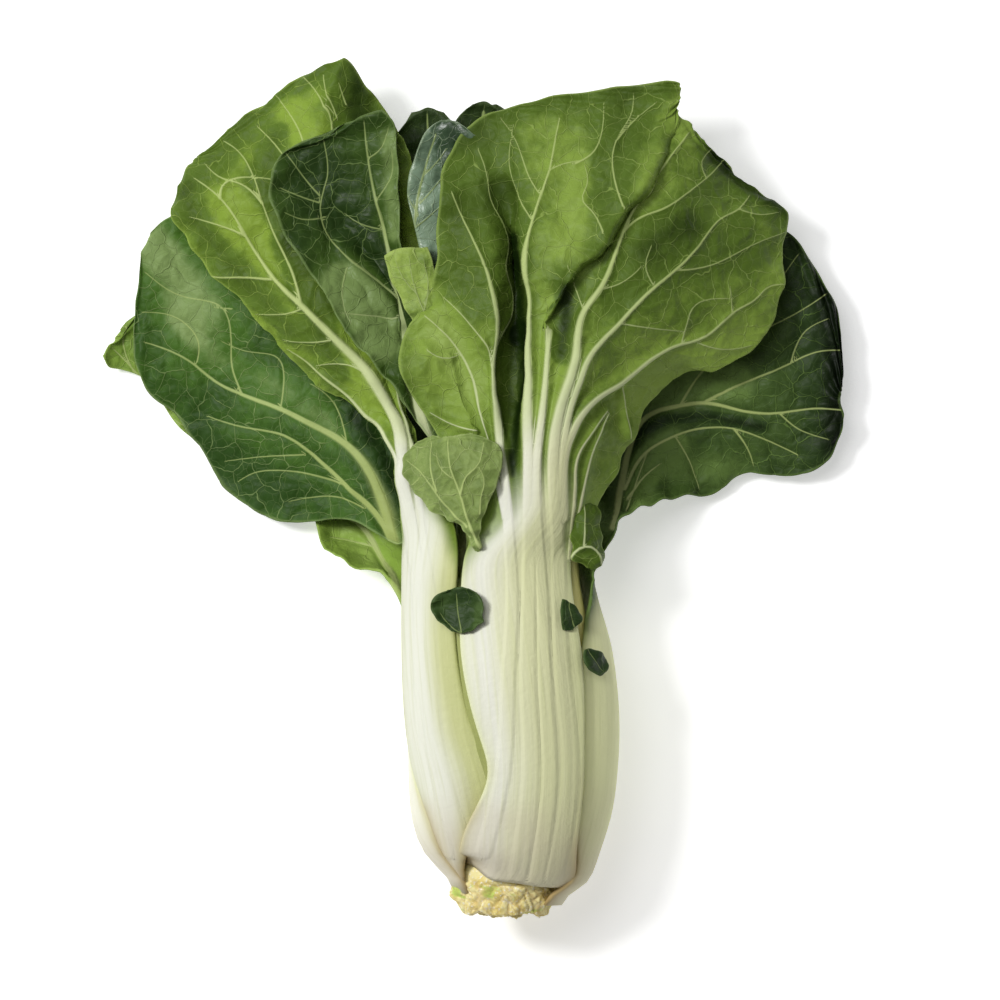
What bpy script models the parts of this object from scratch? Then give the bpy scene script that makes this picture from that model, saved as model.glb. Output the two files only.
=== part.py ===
"""Bok choy head lying on its back: thick white stalks growing from one core, broad leaf blades.

Every leaf is one closed body lofted through a few cross rows.  A stalk row lies on the
rounded head, a blade row is given by its two margins and its midrib.  Lengths in the
tables are millimetres: +X to the right, +Y from the core towards the leaf tips, +Z up.
"""
import math

import bmesh
import bpy
import numpy as np

MM = 0.001
STALK_MARGIN = 2.2
BLADE_MARGIN = 1.0
END_THICKNESS = 0.9

# The head: sideways centre, height of the centre and half-width at each distance along it.
HEAD_Y = (-145.0, -141.0, -137.5, -130.5, -116.5, -102.0, -88.5, -74.0, -57.0, -40.0, -25.0, -10.0)
HEAD_X = (12.0, 13.5, 14.5, 13.4, 12.8, 12.7, 12.6, 11.8, 10.5, 8.5, 7.0, 6.0)
HEAD_Z = (33.0, 33.0, 33.0, 33.0, 33.0, 33.0, 33.0, 33.0, 32.6, 31.4, 30.3, 29.5)
HEAD_R = (14.0, 20.5, 25.0, 30.0, 35.0, 37.3, 38.2, 38.5, 37.5, 35.5, 34.0, 33.0)
SQUASH = 0.857

# Core: half-widths along the head's length, from the cut end to the part inside the stalks.
CORE_CENTRE = (10.5, 33.0)
CORE_PROFILE = (
    (-150.5, 13.5),
    (-149.4, 16.6),
    (-146.5, 18.8),
    (-143.0, 20.0),
    (-141.2, 19.5),
    (-140.9, 13.0),
    (-134.5, 10.6),
)
CORE_SIDES = 24

# A stalk row starts with "S": distance along the head, angle of the first margin, of the
# rib and of the last margin (0 is uppermost, 90 is the right side), share of the head's
# radius, how far each margin is tucked in, thickness at the rib.
# A blade row starts with "B": first margin x y z, rib x y z, last margin x y z, height of
# the arch on either side of the rib, thickness at the rib.
FRONT_LEAF = (
    ("S", -139.0, -34, 12, 56, 1.00, 0, 0, 6.0),
    ("S", -131.0, -37, 8, 45, 1.01, 0, 0, 8.0),
    ("S", -116.0, -24, 10, 43, 1.01, 0, 0, 9.0),
    ("S", -101.0, -13, 14, 43, 1.01, 0, 0, 9.2),
    ("S", -88.0, -18, 12, 43, 1.00, 0, 0, 9.0),
    ("S", -74.0, -22, 11, 44, 1.00, 0, 0, 8.6),
    ("S", -57.0, -25, 11, 46, 1.00, 0, 0, 8.2),
    ("S", -40.0, -23, 12, 48, 1.00, 0, 0, 7.6),
    ("S", -25.5, -19, 14, 52, 1.00, 0, 0, 7.0),
    ("B", -2.5, -13, 55, 25.9, -8, 60.5, 38.5, -17, 47, 1.5, 1.5, 6.4),
    ("B", -8, 3, 54, 27.3, 5.3, 61.8, 44.8, -4.6, 43, 1.5, 1.5, 5.2),
    ("B", -16.5, 21.7, 52, 30.5, 20, 62, 54.3, 13, 39, 1, 1.5, 4.2),
    ("B", -25.2, 35.7, 51, 34.3, 35.7, 61.5, 64.8, 32, 35, 1, 2, 3.4),
    ("B", -24.5, 53, 50, 38.5, 50.8, 60, 84, 40.3, 31, 1, 2.5, 2.8),
    ("B", -15.8, 68.3, 50, 43.8, 65.5, 58, 100.5, 52.2, 28, 1, 3, 2.4),
    ("B", -13.3, 86.5, 49, 49.4, 79.5, 55, 108, 70.7, 26, 1, 3, 2.0),
    ("B", -11.9, 107.5, 47.5, 55, 90.7, 51.5, 110, 87, 25, 1.5, 3, 1.7),
    ("B", -5.3, 123.2, 45, 60.6, 101.2, 47.5, 110.5, 96.3, 25, 1.5, 2.5, 1.5),
    ("B", 12.3, 133.5, 42.5, 65.5, 110, 43.8, 101.5, 104, 27, 1, 2, 1.4),
    ("B", 43.8, 138.5, 39.5, 68.5, 117.5, 40.5, 90.5, 112, 31, 0.5, 1, 1.2),
    ("B", 69.5, 138.5, 37, 71.0, 123.5, 38.2, 77.5, 121.5, 35.5, 0.5, 0, 1.0),
)
LEFT_LEAF = (
    ("S", -136.0, -62, -48, -34, 0.82, 0.5, 0.5, 3.8),
    ("S", -131.0, -62, -47, -32, 0.85, 1.2, 1.5, 5.4),
    ("S", -116.0, -66, -45, -20, 0.94, 2.2, 4.4, 7.2),
    ("S", -101.0, -72, -46, -12, 0.98, 0.5, 5.8, 8.0),
    ("S", -88.0, -76, -50, -21, 1.00, 0, 3.2, 8.4),
    ("S", -74.0, -77, -52, -27, 1.00, 0, 2.0, 8.4),
    ("S", -57.0, -78, -54, -30, 1.00, 0, 1.2, 8.0),
    ("S", -40.0, -78, -54, -28, 1.00, 0, 1.2, 7.4),
    ("S", -25.5, -77, -50, -24, 1.00, 0, 1.2, 6.8),
    ("B", -27, -11.5, 37.5, -18, -11.5, 45.5, -7.5, -12, 49, 1.5, 1.5, 5.6),
    ("B", -30.5, 4.2, 36, -22.5, 5.5, 43.2, -14, 3, 43.6, 1.2, 1, 4.6),
    ("B", -36, 19.3, 34, -29, 23, 41, -21.5, 21.5, 38.4, 1.2, 0.8, 3.4),
    ("B", -46, 31.2, 32, -37.5, 38.5, 39.8, -23, 42, 35.5, 1.2, 1, 2.8),
    ("B", -57.8, 41.7, 29, -49, 52, 39.5, -20, 72, 33, 1.5, 1.5, 2.6),
    ("B", -71, 53.6, 27, -62, 64.4, 37.6, -21, 104, 30.5, 1.5, 1.5, 2.2),
    ("B", -84, 65.5, 25, -74.5, 78.8, 35, -30.5, 130, 29, 1.5, 1.5, 2.0),
    ("B", -96.3, 77.7, 23, -85, 91.7, 32, -46.5, 149.6, 27, 1.5, 1.5, 1.7),
    ("B", -105, 90, 21, -91.7, 102.2, 28, -66.5, 139.5, 24, 1, 1.5, 1.5),
    ("B", -107.8, 97, 20, -97, 109.2, 24.5, -84, 128.5, 22, 0.5, 1, 1.3),
    ("B", -104.7, 105.5, 20, -101.5, 112.7, 21.5, -95.2, 119, 20, 0, 0, 1.1),
)
RIGHT_LEAF = (
    ("S", -140.5, 66, 88, 112, 1.00, 1.0, 1.5, 5.0),
    ("S", -131.0, 52, 83, 118, 1.00, 1.5, 2.8, 7.8),
    ("S", -116.0, 41, 79, 118, 1.00, 4.2, 2.8, 8.8),
    ("S", -101.0, 41, 79, 118, 1.00, 4.2, 2.8, 8.8),
    ("S", -88.0, 41, 79, 118, 1.00, 4.2, 2.8, 8.6),
    ("S", -74.0, 43, 80, 118, 1.00, 4.2, 2.8, 8.4),
    ("S", -57.0, 52, 84, 119, 1.00, 2.5, 2.8, 8.0),
    ("S", -42.0, 64, 92, 120, 1.00, 0, 2.8, 7.4),
    ("B", 46.0, -25.5, 41, 41.5, -24, 26, 30, -21, 14, -1, -1, 6.2),
    ("B", 52, -12, 35, 48, -9, 21, 34, -4, 12.5, -3, -1, 5.6),
    ("B", 63.5, -6.5, 24, 54.5, 1, 18, 43, 10, 12, -1.5, 0, 5.0),
    ("B", 75, -4, 12, 60, 12.3, 16, 49, 24, 13.5, -1, 0, 4.2),
    ("B", 84.5, -3, 6, 68, 22, 14.5, 57.8, 41, 14, 0, 0, 3.6),
    ("B", 93, 4, 2.5, 79.5, 28.7, 12.5, 72, 64, 13, 1, 0.5, 3.0),
    ("B", 105, 4, 0.6, 92.8, 30.3, 10.5, 91, 84, 12, 1, 1, 2.5),
    ("B", 116, 4.6, 0.3, 105, 28.7, 9, 109.6, 89, 10.5, 1, 1, 2.0),
    ("B", 123.9, 9.5, 1.5, 114.8, 27.7, 8, 119, 76.7, 9, 1, 1, 1.7),
    ("B", 128, 17, 4, 122.5, 27.3, 7.5, 127, 59, 8, 0.5, 0.5, 1.4),
    ("B", 129.5, 23.5, 6, 128.2, 29, 6.8, 129, 38, 7, 0, 0, 1.1),
)
FAR_LEFT_LEAF = (
    ("S", -139.0, -140, -102, -66, 1.00, 2.8, 0, 5.5),
    ("S", -131.0, -145, -104, -61, 1.00, 4.2, 0, 7.8),
    ("S", -116.0, -146, -108, -66, 1.00, 4.2, 0, 8.6),
    ("S", -101.0, -147, -112, -76, 1.00, 4.2, 0, 8.6),
    ("S", -88.0, -147, -114, -81, 1.00, 4.2, 0, 8.6),
    ("S", -74.0, -148, -115, -82, 1.00, 4.2, 0, 8.4),
    ("S", -57.0, -149, -117, -84, 1.00, 4.2, 0, 8.0),
    ("S", -42.0, -150, -120, -88, 1.00, 4.2, 0, 7.2),
    ("B", -11, -27, 5.4, -22, -28, 9, -34.5, -32.5, 24, -1, -5, 5.2),
    ("B", -15, -12, 3.0, -32, -17, 4, -46.5, -29, 19, -0.4, -7, 4.2),
    ("B", -20, 4, 1.8, -41, -5, 2.2, -55.5, -19, 11, -0.2, -4.5, 3.4),
    ("B", -28, 22, 1.4, -50, 9, 1.6, -60, -3, 2.2, 0, -0.5, 2.8),
    ("B", -42, 40, 1.2, -68, 24, 1.2, -80, 3, 0.5, 0, 0.3, 2.6),
    ("B", -58, 54, 1.2, -84, 34, 1.2, -96, 13, 0.2, 0, 0.3, 2.2),
    ("B", -75, 62, 1.5, -98, 41, 1.4, -109, 26, 1.0, 0, 0, 1.9),
    ("B", -93, 68, 2.5, -110, 47, 2.4, -117.5, 38, 2.0, 0, 0, 1.6),
    ("B", -108, 66, 3.2, -118, 50, 4.2, -125, 41.5, 4.2, 0, 0, 1.4),
    ("B", -118, 60, 4.2, -124, 50.5, 6.0, -128.6, 44, 6.5, 0, 0, 1.2),
    ("B", -123, 55.5, 6.6, -127, 50.5, 7.8, -129.6, 46.8, 8.0, 0, 0, 1.1),
)
BACK_LEAF = (
    ("S", -139.0, 118, 166, 214, 1.00, 0, 0, 5.5),
    ("S", -131.0, 122, 168, 214, 1.00, 0, 0, 7.8),
    ("S", -116.0, 124, 168, 213, 1.00, 0, 0, 8.6),
    ("S", -101.0, 124, 168, 213, 1.00, 0, 0, 8.6),
    ("S", -88.0, 124, 168, 213, 1.00, 0, 0, 8.6),
    ("S", -74.0, 124, 168, 212, 1.00, 0, 0, 8.4),
    ("S", -57.0, 126, 169, 211, 1.00, 0, 0, 8.0),
    ("S", -40.0, 128, 170, 210, 1.00, 0, 0, 7.4),
    ("S", -25.5, 137, 172, 206, 1.00, 0, 0, 6.4),
    ("B", 24, -4, 3.0, 8, -4, 0.8, -7, -4, 2.6, -0.6, -0.4, 5.2),
    ("B", 36, 24, 2.2, 6, 25, 0.5, -15, 25, 3.0, -0.4, -0.3, 4.2),
    ("B", 44, 50, 2.6, 5, 50, 0.4, -20, 50, 3.6, -0.3, -0.3, 3.2),
    ("B", 44, 76, 3.2, 4, 75, 0.5, -22, 75, 3.6, -0.3, -0.3, 2.5),
    ("B", 36, 100, 3.8, 3, 99, 1.0, -18, 101, 3.8, 0, 0, 2.0),
    ("B", 24, 118, 4.6, 2, 118, 2.4, -12, 118.5, 4.4, 0, 0, 1.6),
    ("B", 14, 130, 6.0, 3, 131, 5.0, -6, 130, 5.8, 0, 0, 1.3),
    ("B", 8.5, 135, 7.0, 3.5, 136.2, 6.8, -1, 135, 7.0, 0, 0, 1.1),
)
LEFT_BACK_LEAF = (
    ("S", -132.5, -110, -85, -60, 0.60, 0, 0, 3.2),
    ("S", -116.0, -112, -85, -58, 0.68, 0, 0, 5.2),
    ("S", -100.0, -114, -86, -58, 0.71, 0, 0, 6.0),
    ("S", -80.0, -115, -87, -58, 0.72, 0, 0, 6.0),
    ("S", -58.0, -116, -88, -60, 0.73, 0, 0, 5.8),
    ("S", -42.0, -117, -88, -60, 0.76, 0.5, 1.0, 5.6),
    ("B", -21, -23, 18, -22.5, -24, 26, -18, -26, 35.5, -1, 1, 5.4),
    ("B", -24, -6, 17.5, -29.5, -11, 23.5, -31, -19, 27, -0.5, -1, 5.0),
    ("B", -27, 11, 18, -35, 3, 22.5, -42, -10, 17.5, -0.5, 0.5, 4.2),
    ("B", -32, 30, 17.5, -43, 18, 21, -59.5, -11, 10, -0.5, 0.5, 3.6),
    ("B", -43, 49, 17, -55, 33, 18.5, -79, -6.5, 4.5, 0, 1, 3.2),
    ("B", -57, 68, 14.5, -69, 47, 16, -92.5, 6, 3.2, 0, 1, 2.7),
    ("B", -73, 84, 11, -83, 59, 13.5, -104, 23, 4, 0, 1, 2.2),
    ("B", -89.5, 94.5, 8, -96, 68.3, 11.5, -116.5, 35, 5, 0, 0.5, 1.8),
    ("B", -101.5, 97, 7, -107, 74.6, 10.5, -120.3, 51.5, 7.4, 0, 0.5, 1.5),
    ("B", -110.5, 93, 8, -114, 80.5, 10.8, -119.3, 68.3, 9.2, 0, 0, 1.3),
    ("B", -114.8, 89, 9, -116.4, 84, 10.6, -117.8, 79, 10.2, 0, 0, 1.1),
)
INNER_LEFT_LEAF = (
    ("S", -131.0, 134, 180, 226, 0.30, 0, 0, 2.6),
    ("S", -116.0, 132, 180, 228, 0.38, 0, 0, 4.4),
    ("S", -100.0, 132, 180, 228, 0.42, 0, 0, 5.0),
    ("S", -80.0, 132, 180, 228, 0.43, 0, 0, 5.0),
    ("S", -60.0, 132, 182, 230, 0.41, 0, 0, 5.0),
    ("B", 13, -40, 25.5, 4.5, -40, 21.5, -5, -40, 25.5, -1, -1, 4.8),
    ("B", 9, -20, 31, 1, -20, 28, -8, -20, 31, -0.6, -0.6, 4.4),
    ("B", 5, 0, 36.5, -1.5, 0, 34.5, -8, 0, 36.5, -0.4, -0.4, 4.0),
    ("B", -6.5, 17, 41.6, -12.5, 18, 41, -17.5, 16.6, 42.6, -0.3, -0.3, 3.2),
    ("B", -17, 35, 41.5, -24, 36, 41, -30, 34, 43, -0.3, -0.3, 3.2),
    ("B", -19, 55, 41, -27, 58, 38.5, -46.5, 53.5, 43.5, 0, -1, 2.8),
    ("B", -24.5, 76, 39, -28.7, 77, 36.5, -55.5, 70, 43.5, 0, -1.5, 2.4),
    ("B", -26, 96, 38.5, -32.2, 92, 36, -67, 88, 42, 0, -1.5, 2.1),
    ("B", -26.6, 111, 38.5, -35.2, 107, 36, -72, 104.5, 40.5, 0, -1.5, 1.8),
    ("B", -27.6, 122.5, 37.8, -37.5, 119, 36, -67, 116, 39, 0, -1, 1.5),
    ("B", -29.6, 129.2, 37, -38.8, 126.2, 35.8, -56, 121.8, 38, 0, -0.5, 1.3),
    ("B", -32.5, 131.3, 36.4, -39.6, 129, 35.8, -48, 125.6, 37, 0, 0, 1.0),
)
GLOSSY_LEAF = (
    ("S", -132.5, 118, 145, 172, 0.60, 0, 0, 3.2),
    ("S", -116.0, 115, 145, 175, 0.68, 0, 0, 5.2),
    ("S", -100.0, 114, 145, 175, 0.71, 0, 0, 6.0),
    ("S", -80.0, 114, 145, 176, 0.72, 0, 0, 6.0),
    ("S", -58.0, 113, 145, 176, 0.72, 0, 0, 5.8),
    ("S", -40.0, 116, 146, 175, 0.70, 0, 0, 5.2),
    ("B", 27, -20, 18.5, 22, -20, 15, 15.5, -20, 13.5, -0.6, -0.6, 4.4),
    ("B", 28, 5, 26, 19, 5, 22, 9, 5, 22, -0.5, -0.5, 4.0),
    ("B", 26, 30, 32, 12, 30, 29, 1, 30, 30, -0.4, -0.4, 3.3),
    ("B", 26, 55, 37, 6, 56, 34, -8, 56, 35.5, -0.4, -0.4, 2.8),
    ("B", 24, 78, 40, 1, 79, 38, -18.5, 80, 40, -0.4, 0, 2.3),
    ("B", 22, 92, 41, -3, 93, 39, -22.5, 94, 41.5, -0.4, 0, 1.9),
    ("B", 18, 106, 41.5, -6, 107, 40, -23.5, 108, 41.5, 0, 0, 1.6),
    ("B", 10, 117, 41, -8, 119, 40, -20, 119, 41, 0, 0, 1.4),
    ("B", 0, 124, 40.5, -9, 126, 40, -15, 125.5, 40.5, 0, 0, 1.2),
    ("B", -6, 127.2, 40.2, -9.2, 128.2, 40, -12, 127.6, 40.2, 0, 0, 1.0),
)
INNER_RIGHT_LEAF = (
    ("S", -132.5, 40, 65, 90, 0.60, 0, 0, 3.2),
    ("S", -116.0, 36, 65, 94, 0.68, 0, 0, 5.2),
    ("S", -100.0, 34, 65, 96, 0.71, 0, 0, 6.0),
    ("S", -80.0, 34, 65, 96, 0.72, 0, 0, 6.0),
    ("S", -58.0, 34, 63, 92, 0.76, 0, 1, 5.8),
    ("S", -41.0, 34, 60, 84, 0.80, 0, 2, 5.4),
    ("B", 26, -20, 47, 32.5, -20, 41, 33.5, -20, 30, 1.0, 1.0, 4.8),
    ("B", 27, 0, 49, 36, 0, 43, 40, 0, 33, 1.0, 1.0, 4.0),
    ("B", 28, 20, 50, 40, 20, 44, 48, 20, 32, 1.0, 1.0, 3.3),
    ("B", 30, 45, 49, 46, 45, 43, 59, 42, 31, 1.0, 1.5, 2.8),
    ("B", 34, 70, 47, 54, 70, 40, 71, 64, 27, 1.0, 1.5, 2.3),
    ("B", 42, 92, 42.5, 60, 92, 35.5, 79, 84, 24, 1.0, 1.0, 1.9),
    ("B", 50, 107, 37.5, 64, 105, 32.5, 78, 98, 25, 0.5, 0.5, 1.6),
    ("B", 58, 115.5, 32, 66, 113, 29.5, 73, 107.5, 27, 0, 0, 1.2),
)
INNER_BACK_LEAF = (
    ("S", -132.5, 184, 210, 236, 0.60, 0, 0, 3.2),
    ("S", -116.0, 182, 210, 238, 0.68, 0, 0, 5.2),
    ("S", -100.0, 181, 210, 239, 0.71, 0, 0, 6.0),
    ("S", -80.0, 181, 211, 239, 0.72, 0, 0, 6.0),
    ("S", -58.0, 181, 212, 239, 0.72, 0, 0, 5.8),
    ("S", -40.0, 180, 213, 238, 0.70, 0, 0, 5.4),
    ("B", 11, -20, 9.5, -3, -20, 10, -15, -20, 14, -0.4, -0.6, 4.6),
    ("B", 13, 5, 9.5, -6, 5, 10, -19, 5, 13, -0.3, -0.4, 3.8),
    ("B", 20, 35, 9.5, -9, 35, 10, -28, 35, 12, -0.3, -0.3, 3.0),
    ("B", 22, 65, 9.5, -12, 65, 10, -36, 65, 11, 0, 0, 2.4),
    ("B", 18, 90, 10.5, -14, 92, 11, -38, 92, 11, 0, 0, 1.9),
    ("B", 8, 112, 12, -16, 114, 12, -34, 112, 12, 0, 0, 1.5),
    ("B", -4, 125, 13.6, -17, 127.5, 13.6, -27, 125, 13.2, 0, 0, 1.3),
    ("B", -11, 131, 15, -17, 132.6, 15, -22.4, 131, 14.8, 0, 0, 1.0),
)
PALE_LEAFLET = (
    ("S", -131.0, -36, 0, 36, 0.42, 0, 0, 2.4),
    ("S", -116.0, -34, 0, 34, 0.48, 0, 0, 4.0),
    ("S", -98.0, -33, 0, 33, 0.52, 0, 0, 4.4),
    ("S", -76.0, -32, 0, 32, 0.53, 0, 0, 4.2),
    ("S", -57.0, -30, -2, 28, 0.53, 0, 0, 4.0),
    ("B", -1, -40, 45, 6, -40, 47, 13, -40, 45.5, 0.6, 0.6, 3.6),
    ("B", -4, -20, 45.5, 2, -20, 47, 8, -20, 46, 0.4, 0.4, 3.2),
    ("B", -8, 2, 46.5, -3, 2, 47.5, 2, 2, 47, 0.3, 0.3, 2.7),
    ("B", -13.5, 22, 47.6, -9.5, 22, 48.3, -5.5, 22, 48, 0.2, 0.2, 2.0),
    ("B", -17, 41, 47, -13.5, 41, 48, -10, 41, 47.6, 0.2, 0.2, 1.7),
    ("B", -21.5, 55, 46.5, -16.5, 56, 47.5, -11, 56, 47, 0.4, 0.4, 1.5),
    ("B", -26.5, 65, 46, -20.5, 66, 47.5, -12.8, 67, 47, 0.5, 0.5, 1.3),
    ("B", -31.2, 75.5, 45.5, -23.8, 76, 47, -14.2, 76.5, 46.5, 0.5, 0.5, 1.2),
    ("B", -31.8, 80.2, 45.3, -24.4, 82.6, 46.4, -16.6, 83.4, 46, 0, 0, 1.0),
)
FRONT_LEAFLET = (
    ("B", -2.0, -23, 62.3, 0.6, -23, 62.8, 3.2, -23, 62.5, 0, 0, 1.4),
    ("B", -5.0, -16, 61.8, -1.4, -14.6, 63.2, 2.2, -14, 62.8, 0.3, 0.3, 1.5),
    ("B", -12.3, -10.5, 57.5, -4.0, -6.5, 64.0, 4.6, -8.5, 63.2, 1.0, 0.6, 1.5),
    ("B", -21, -3, 53.5, -6.2, 2, 64.2, 8, 1, 63.6, 1.5, 0.8, 1.7),
    ("B", -25.6, 6, 51, -7.8, 9.5, 63.4, 9, 8.8, 63.6, 1.5, 0.8, 1.5),
    ("B", -22, 14, 53, -8.8, 14.8, 61.8, 6, 15.2, 62.4, 1.0, 0.5, 1.3),
    ("B", -15, 17.6, 56.5, -9, 18.2, 60.6, -1.8, 18.6, 61.2, 0, 0, 1.1),
)
BUD_LEAFLET_LEFT = (
    ("B", -2.6, -57, 63.4, -3.8, -57.4, 63.0, -5.2, -57, 62.4, 0, 0, 1.6),
    ("B", 2.2, -52.6, 66.2, -4.4, -53.2, 62.6, -11.6, -51.5, 60.8, -0.5, -0.3, 1.4),
    ("B", 3.4, -46, 67.2, -5.6, -46, 61.8, -15.6, -44.6, 60.4, -0.6, -0.6, 1.2),
    ("B", 1.4, -40, 66.6, -6.2, -39.4, 62.0, -13.8, -38.6, 61.6, -0.5, -0.5, 1.1),
    ("B", -3.2, -36.4, 64.6, -6.6, -35.6, 63.0, -10.2, -36, 62.6, 0, 0, 1.0),
)
BUD_LEAFLET_RIGHT = (
    ("B", 37.4, -52.4, 55.2, 36.0, -52.6, 56.6, 34.6, -52.6, 57.6, 0, 0, 1.0),
    ("B", 37.4, -47.6, 54.6, 34.0, -48.2, 56.2, 30.4, -49.4, 58.6, 0.3, 0.3, 1.2),
    ("B", 36.4, -43.0, 53.8, 33.2, -43.2, 56.6, 30.2, -43.4, 58.4, 0.3, 0.3, 1.1),
    ("B", 33.8, -39.9, 55.6, 32.2, -39.5, 56.8, 30.8, -39.6, 57.6, 0, 0, 1.0),
)
BUD_LEAFLET_LOW = (
    ("B", 37.5, -57.4, 57.4, 38.4, -57.0, 56.8, 39.3, -56.5, 56.2, 0, 0, 1.2),
    ("B", 37.8, -61.6, 57.6, 40.5, -60.2, 55.4, 43.3, -58.8, 52.6, 0.4, 0.4, 1.2),
    ("B", 40.1, -64.7, 56.0, 42.8, -63.2, 53.4, 45.4, -61.6, 50.0, 0.4, 0.4, 1.1),
    ("B", 43.0, -66.6, 53.0, 44.4, -65.6, 51.6, 45.7, -64.4, 49.8, 0, 0, 1.0),
)

# name, rows, rings along the leaf, columns across it, colour, roughness
LEAVES = (
    ("front_leaf", FRONT_LEAF, 32, 10, (0.22, 0.34, 0.10), 0.45),
    ("left_leaf", LEFT_LEAF, 28, 10, (0.22, 0.36, 0.09), 0.45),
    ("right_leaf", RIGHT_LEAF, 28, 8, (0.07, 0.14, 0.035), 0.40),
    ("far_left_leaf", FAR_LEFT_LEAF, 28, 8, (0.14, 0.24, 0.06), 0.45),
    ("back_leaf", BACK_LEAF, 22, 8, (0.10, 0.18, 0.05), 0.45),
    ("left_back_leaf", LEFT_BACK_LEAF, 24, 6, (0.06, 0.13, 0.03), 0.40),
    ("inner_left_leaf", INNER_LEFT_LEAF, 26, 6, (0.05, 0.11, 0.03), 0.35),
    ("glossy_leaf", GLOSSY_LEAF, 20, 6, (0.05, 0.10, 0.04), 0.25),
    ("inner_right_leaf", INNER_RIGHT_LEAF, 18, 6, (0.12, 0.19, 0.05), 0.45),
    ("inner_back_leaf", INNER_BACK_LEAF, 18, 6, (0.06, 0.12, 0.04), 0.40),
    ("pale_leaflet", PALE_LEAFLET, 18, 6, (0.30, 0.42, 0.12), 0.45),
    ("front_leaflet", FRONT_LEAFLET, 12, 8, (0.20, 0.32, 0.10), 0.50),
    ("bud_leaflet_left", BUD_LEAFLET_LEFT, 8, 8, (0.04, 0.10, 0.03), 0.35),
    ("bud_leaflet_right", BUD_LEAFLET_RIGHT, 8, 6, (0.04, 0.10, 0.03), 0.35),
    ("bud_leaflet_low", BUD_LEAFLET_LOW, 8, 6, (0.04, 0.10, 0.03), 0.35),
)
CORE_COLOUR = (0.62, 0.56, 0.30)
CORE_ROUGHNESS = 0.7


def spline(knots, values, at):
    """Natural cubic spline through values (first axis follows knots), evaluated at `at`."""
    knots = np.asarray(knots, float)
    values = np.asarray(values, float)
    flat = values.reshape(len(knots), -1)
    count = len(knots)
    gaps = np.diff(knots)
    system = np.eye(count)
    right = np.zeros((count, flat.shape[1]))
    slopes = np.diff(flat, axis=0) / gaps[:, None]
    for k in range(1, count - 1):
        system[k, k - 1] = gaps[k - 1]
        system[k, k] = 2.0 * (gaps[k - 1] + gaps[k])
        system[k, k + 1] = gaps[k]
        right[k] = 6.0 * (slopes[k] - slopes[k - 1])
    bend = np.linalg.solve(system, right)
    cell = np.clip(np.searchsorted(knots, at, side="right") - 1, 0, count - 2)
    gap = gaps[cell][:, None]
    ahead = (np.asarray(at)[:, None] - knots[cell][:, None]) / gap
    behind = 1.0 - ahead
    curve = behind * flat[cell] + ahead * flat[cell + 1]
    curve += (behind**3 - behind) * bend[cell] * gap**2 / 6.0
    curve += (ahead**3 - ahead) * bend[cell + 1] * gap**2 / 6.0
    return curve.reshape((len(at),) + values.shape[1:])


def cross_curves(rows, across):
    """Smooth curve through the five points of every row; 0 in `across` is the rib itself."""
    steps = np.linalg.norm(np.diff(rows, axis=1), axis=2)
    steps = np.maximum(steps, 1e-6)
    knots = np.concatenate([np.zeros((len(rows), 1)), np.cumsum(steps, axis=1)], axis=1)
    system = np.tile(np.eye(5), (len(rows), 1, 1))
    right = np.zeros((len(rows), 5, 3))
    slopes = np.diff(rows, axis=1) / steps[:, :, None]
    for k in (1, 2, 3):
        system[:, k, k - 1] = steps[:, k - 1]
        system[:, k, k] = 2.0 * (steps[:, k - 1] + steps[:, k])
        system[:, k, k + 1] = steps[:, k]
        right[:, k] = 6.0 * (slopes[:, k] - slopes[:, k - 1])
    bend = np.linalg.solve(system, right)
    curves = np.zeros((len(rows), len(across), 3))
    for column, v in enumerate(across):
        first, last = (0, 2) if v < 0 else (2, 4)
        share = v + 1.0 if v < 0 else v
        at = knots[:, first] + share * (knots[:, last] - knots[:, first])
        cell = first + (at > knots[:, first + 1]).astype(int)
        pick = np.arange(len(rows))
        gap = steps[pick, cell][:, None]
        ahead = (at - knots[pick, cell])[:, None] / gap
        behind = 1.0 - ahead
        curve = behind * rows[pick, cell] + ahead * rows[pick, cell + 1]
        curve += (behind**3 - behind) * bend[pick, cell] * gap**2 / 6.0
        curve += (ahead**3 - ahead) * bend[pick, cell + 1] * gap**2 / 6.0
        curves[:, column] = curve
    return curves


def stalk_row(y, first, rib, last, share, tuck_first, tuck_last):
    """Five points around the head: angle gives the side, the margins are tucked inwards."""
    centre_x = np.interp(y, HEAD_Y, HEAD_X)
    centre_z = np.interp(y, HEAD_Y, HEAD_Z)
    radius = share * np.interp(y, HEAD_Y, HEAD_R)
    angles = np.radians([first, (first + rib) / 2, rib, (rib + last) / 2, last])
    tucks = np.array([tuck_first, 0.3 * tuck_first, 0.0, 0.3 * tuck_last, tuck_last])
    reach = radius - tucks
    x = centre_x + reach * np.sin(angles)
    z = centre_z + SQUASH * reach * np.cos(angles)
    return np.stack([x, np.full(5, y), z], axis=1)


def blade_row(values):
    """Five points across a blade: margin, arch, rib, arch, margin."""
    first = np.array(values[0:3], float)
    rib = np.array(values[3:6], float)
    last = np.array(values[6:9], float)
    up = np.array([0.0, 0.0, 1.0])
    middle_first = (first + rib) / 2 + up * values[9]
    middle_last = (rib + last) / 2 + up * values[10]
    return np.stack([first, middle_first, rib, middle_last, last])


def leaf_rows(rows):
    """Cross rows of a leaf as points, with the rib and margin thickness of each."""
    points = []
    thick = []
    for row in rows:
        if row[0] == "S":
            points.append(stalk_row(*row[1:8]))
            thick.append((row[8], min(STALK_MARGIN, 0.55 * row[8])))
        else:
            points.append(blade_row(row[1:12]))
            blend = min(1.0, row[12] / 7.0)
            thick.append((row[12], BLADE_MARGIN + (STALK_MARGIN - BLADE_MARGIN) * blend))
    thick[-1] = (min(thick[-1][0], END_THICKNESS), min(thick[-1][1], END_THICKNESS))
    return np.array(points), np.array(thick)


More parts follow.
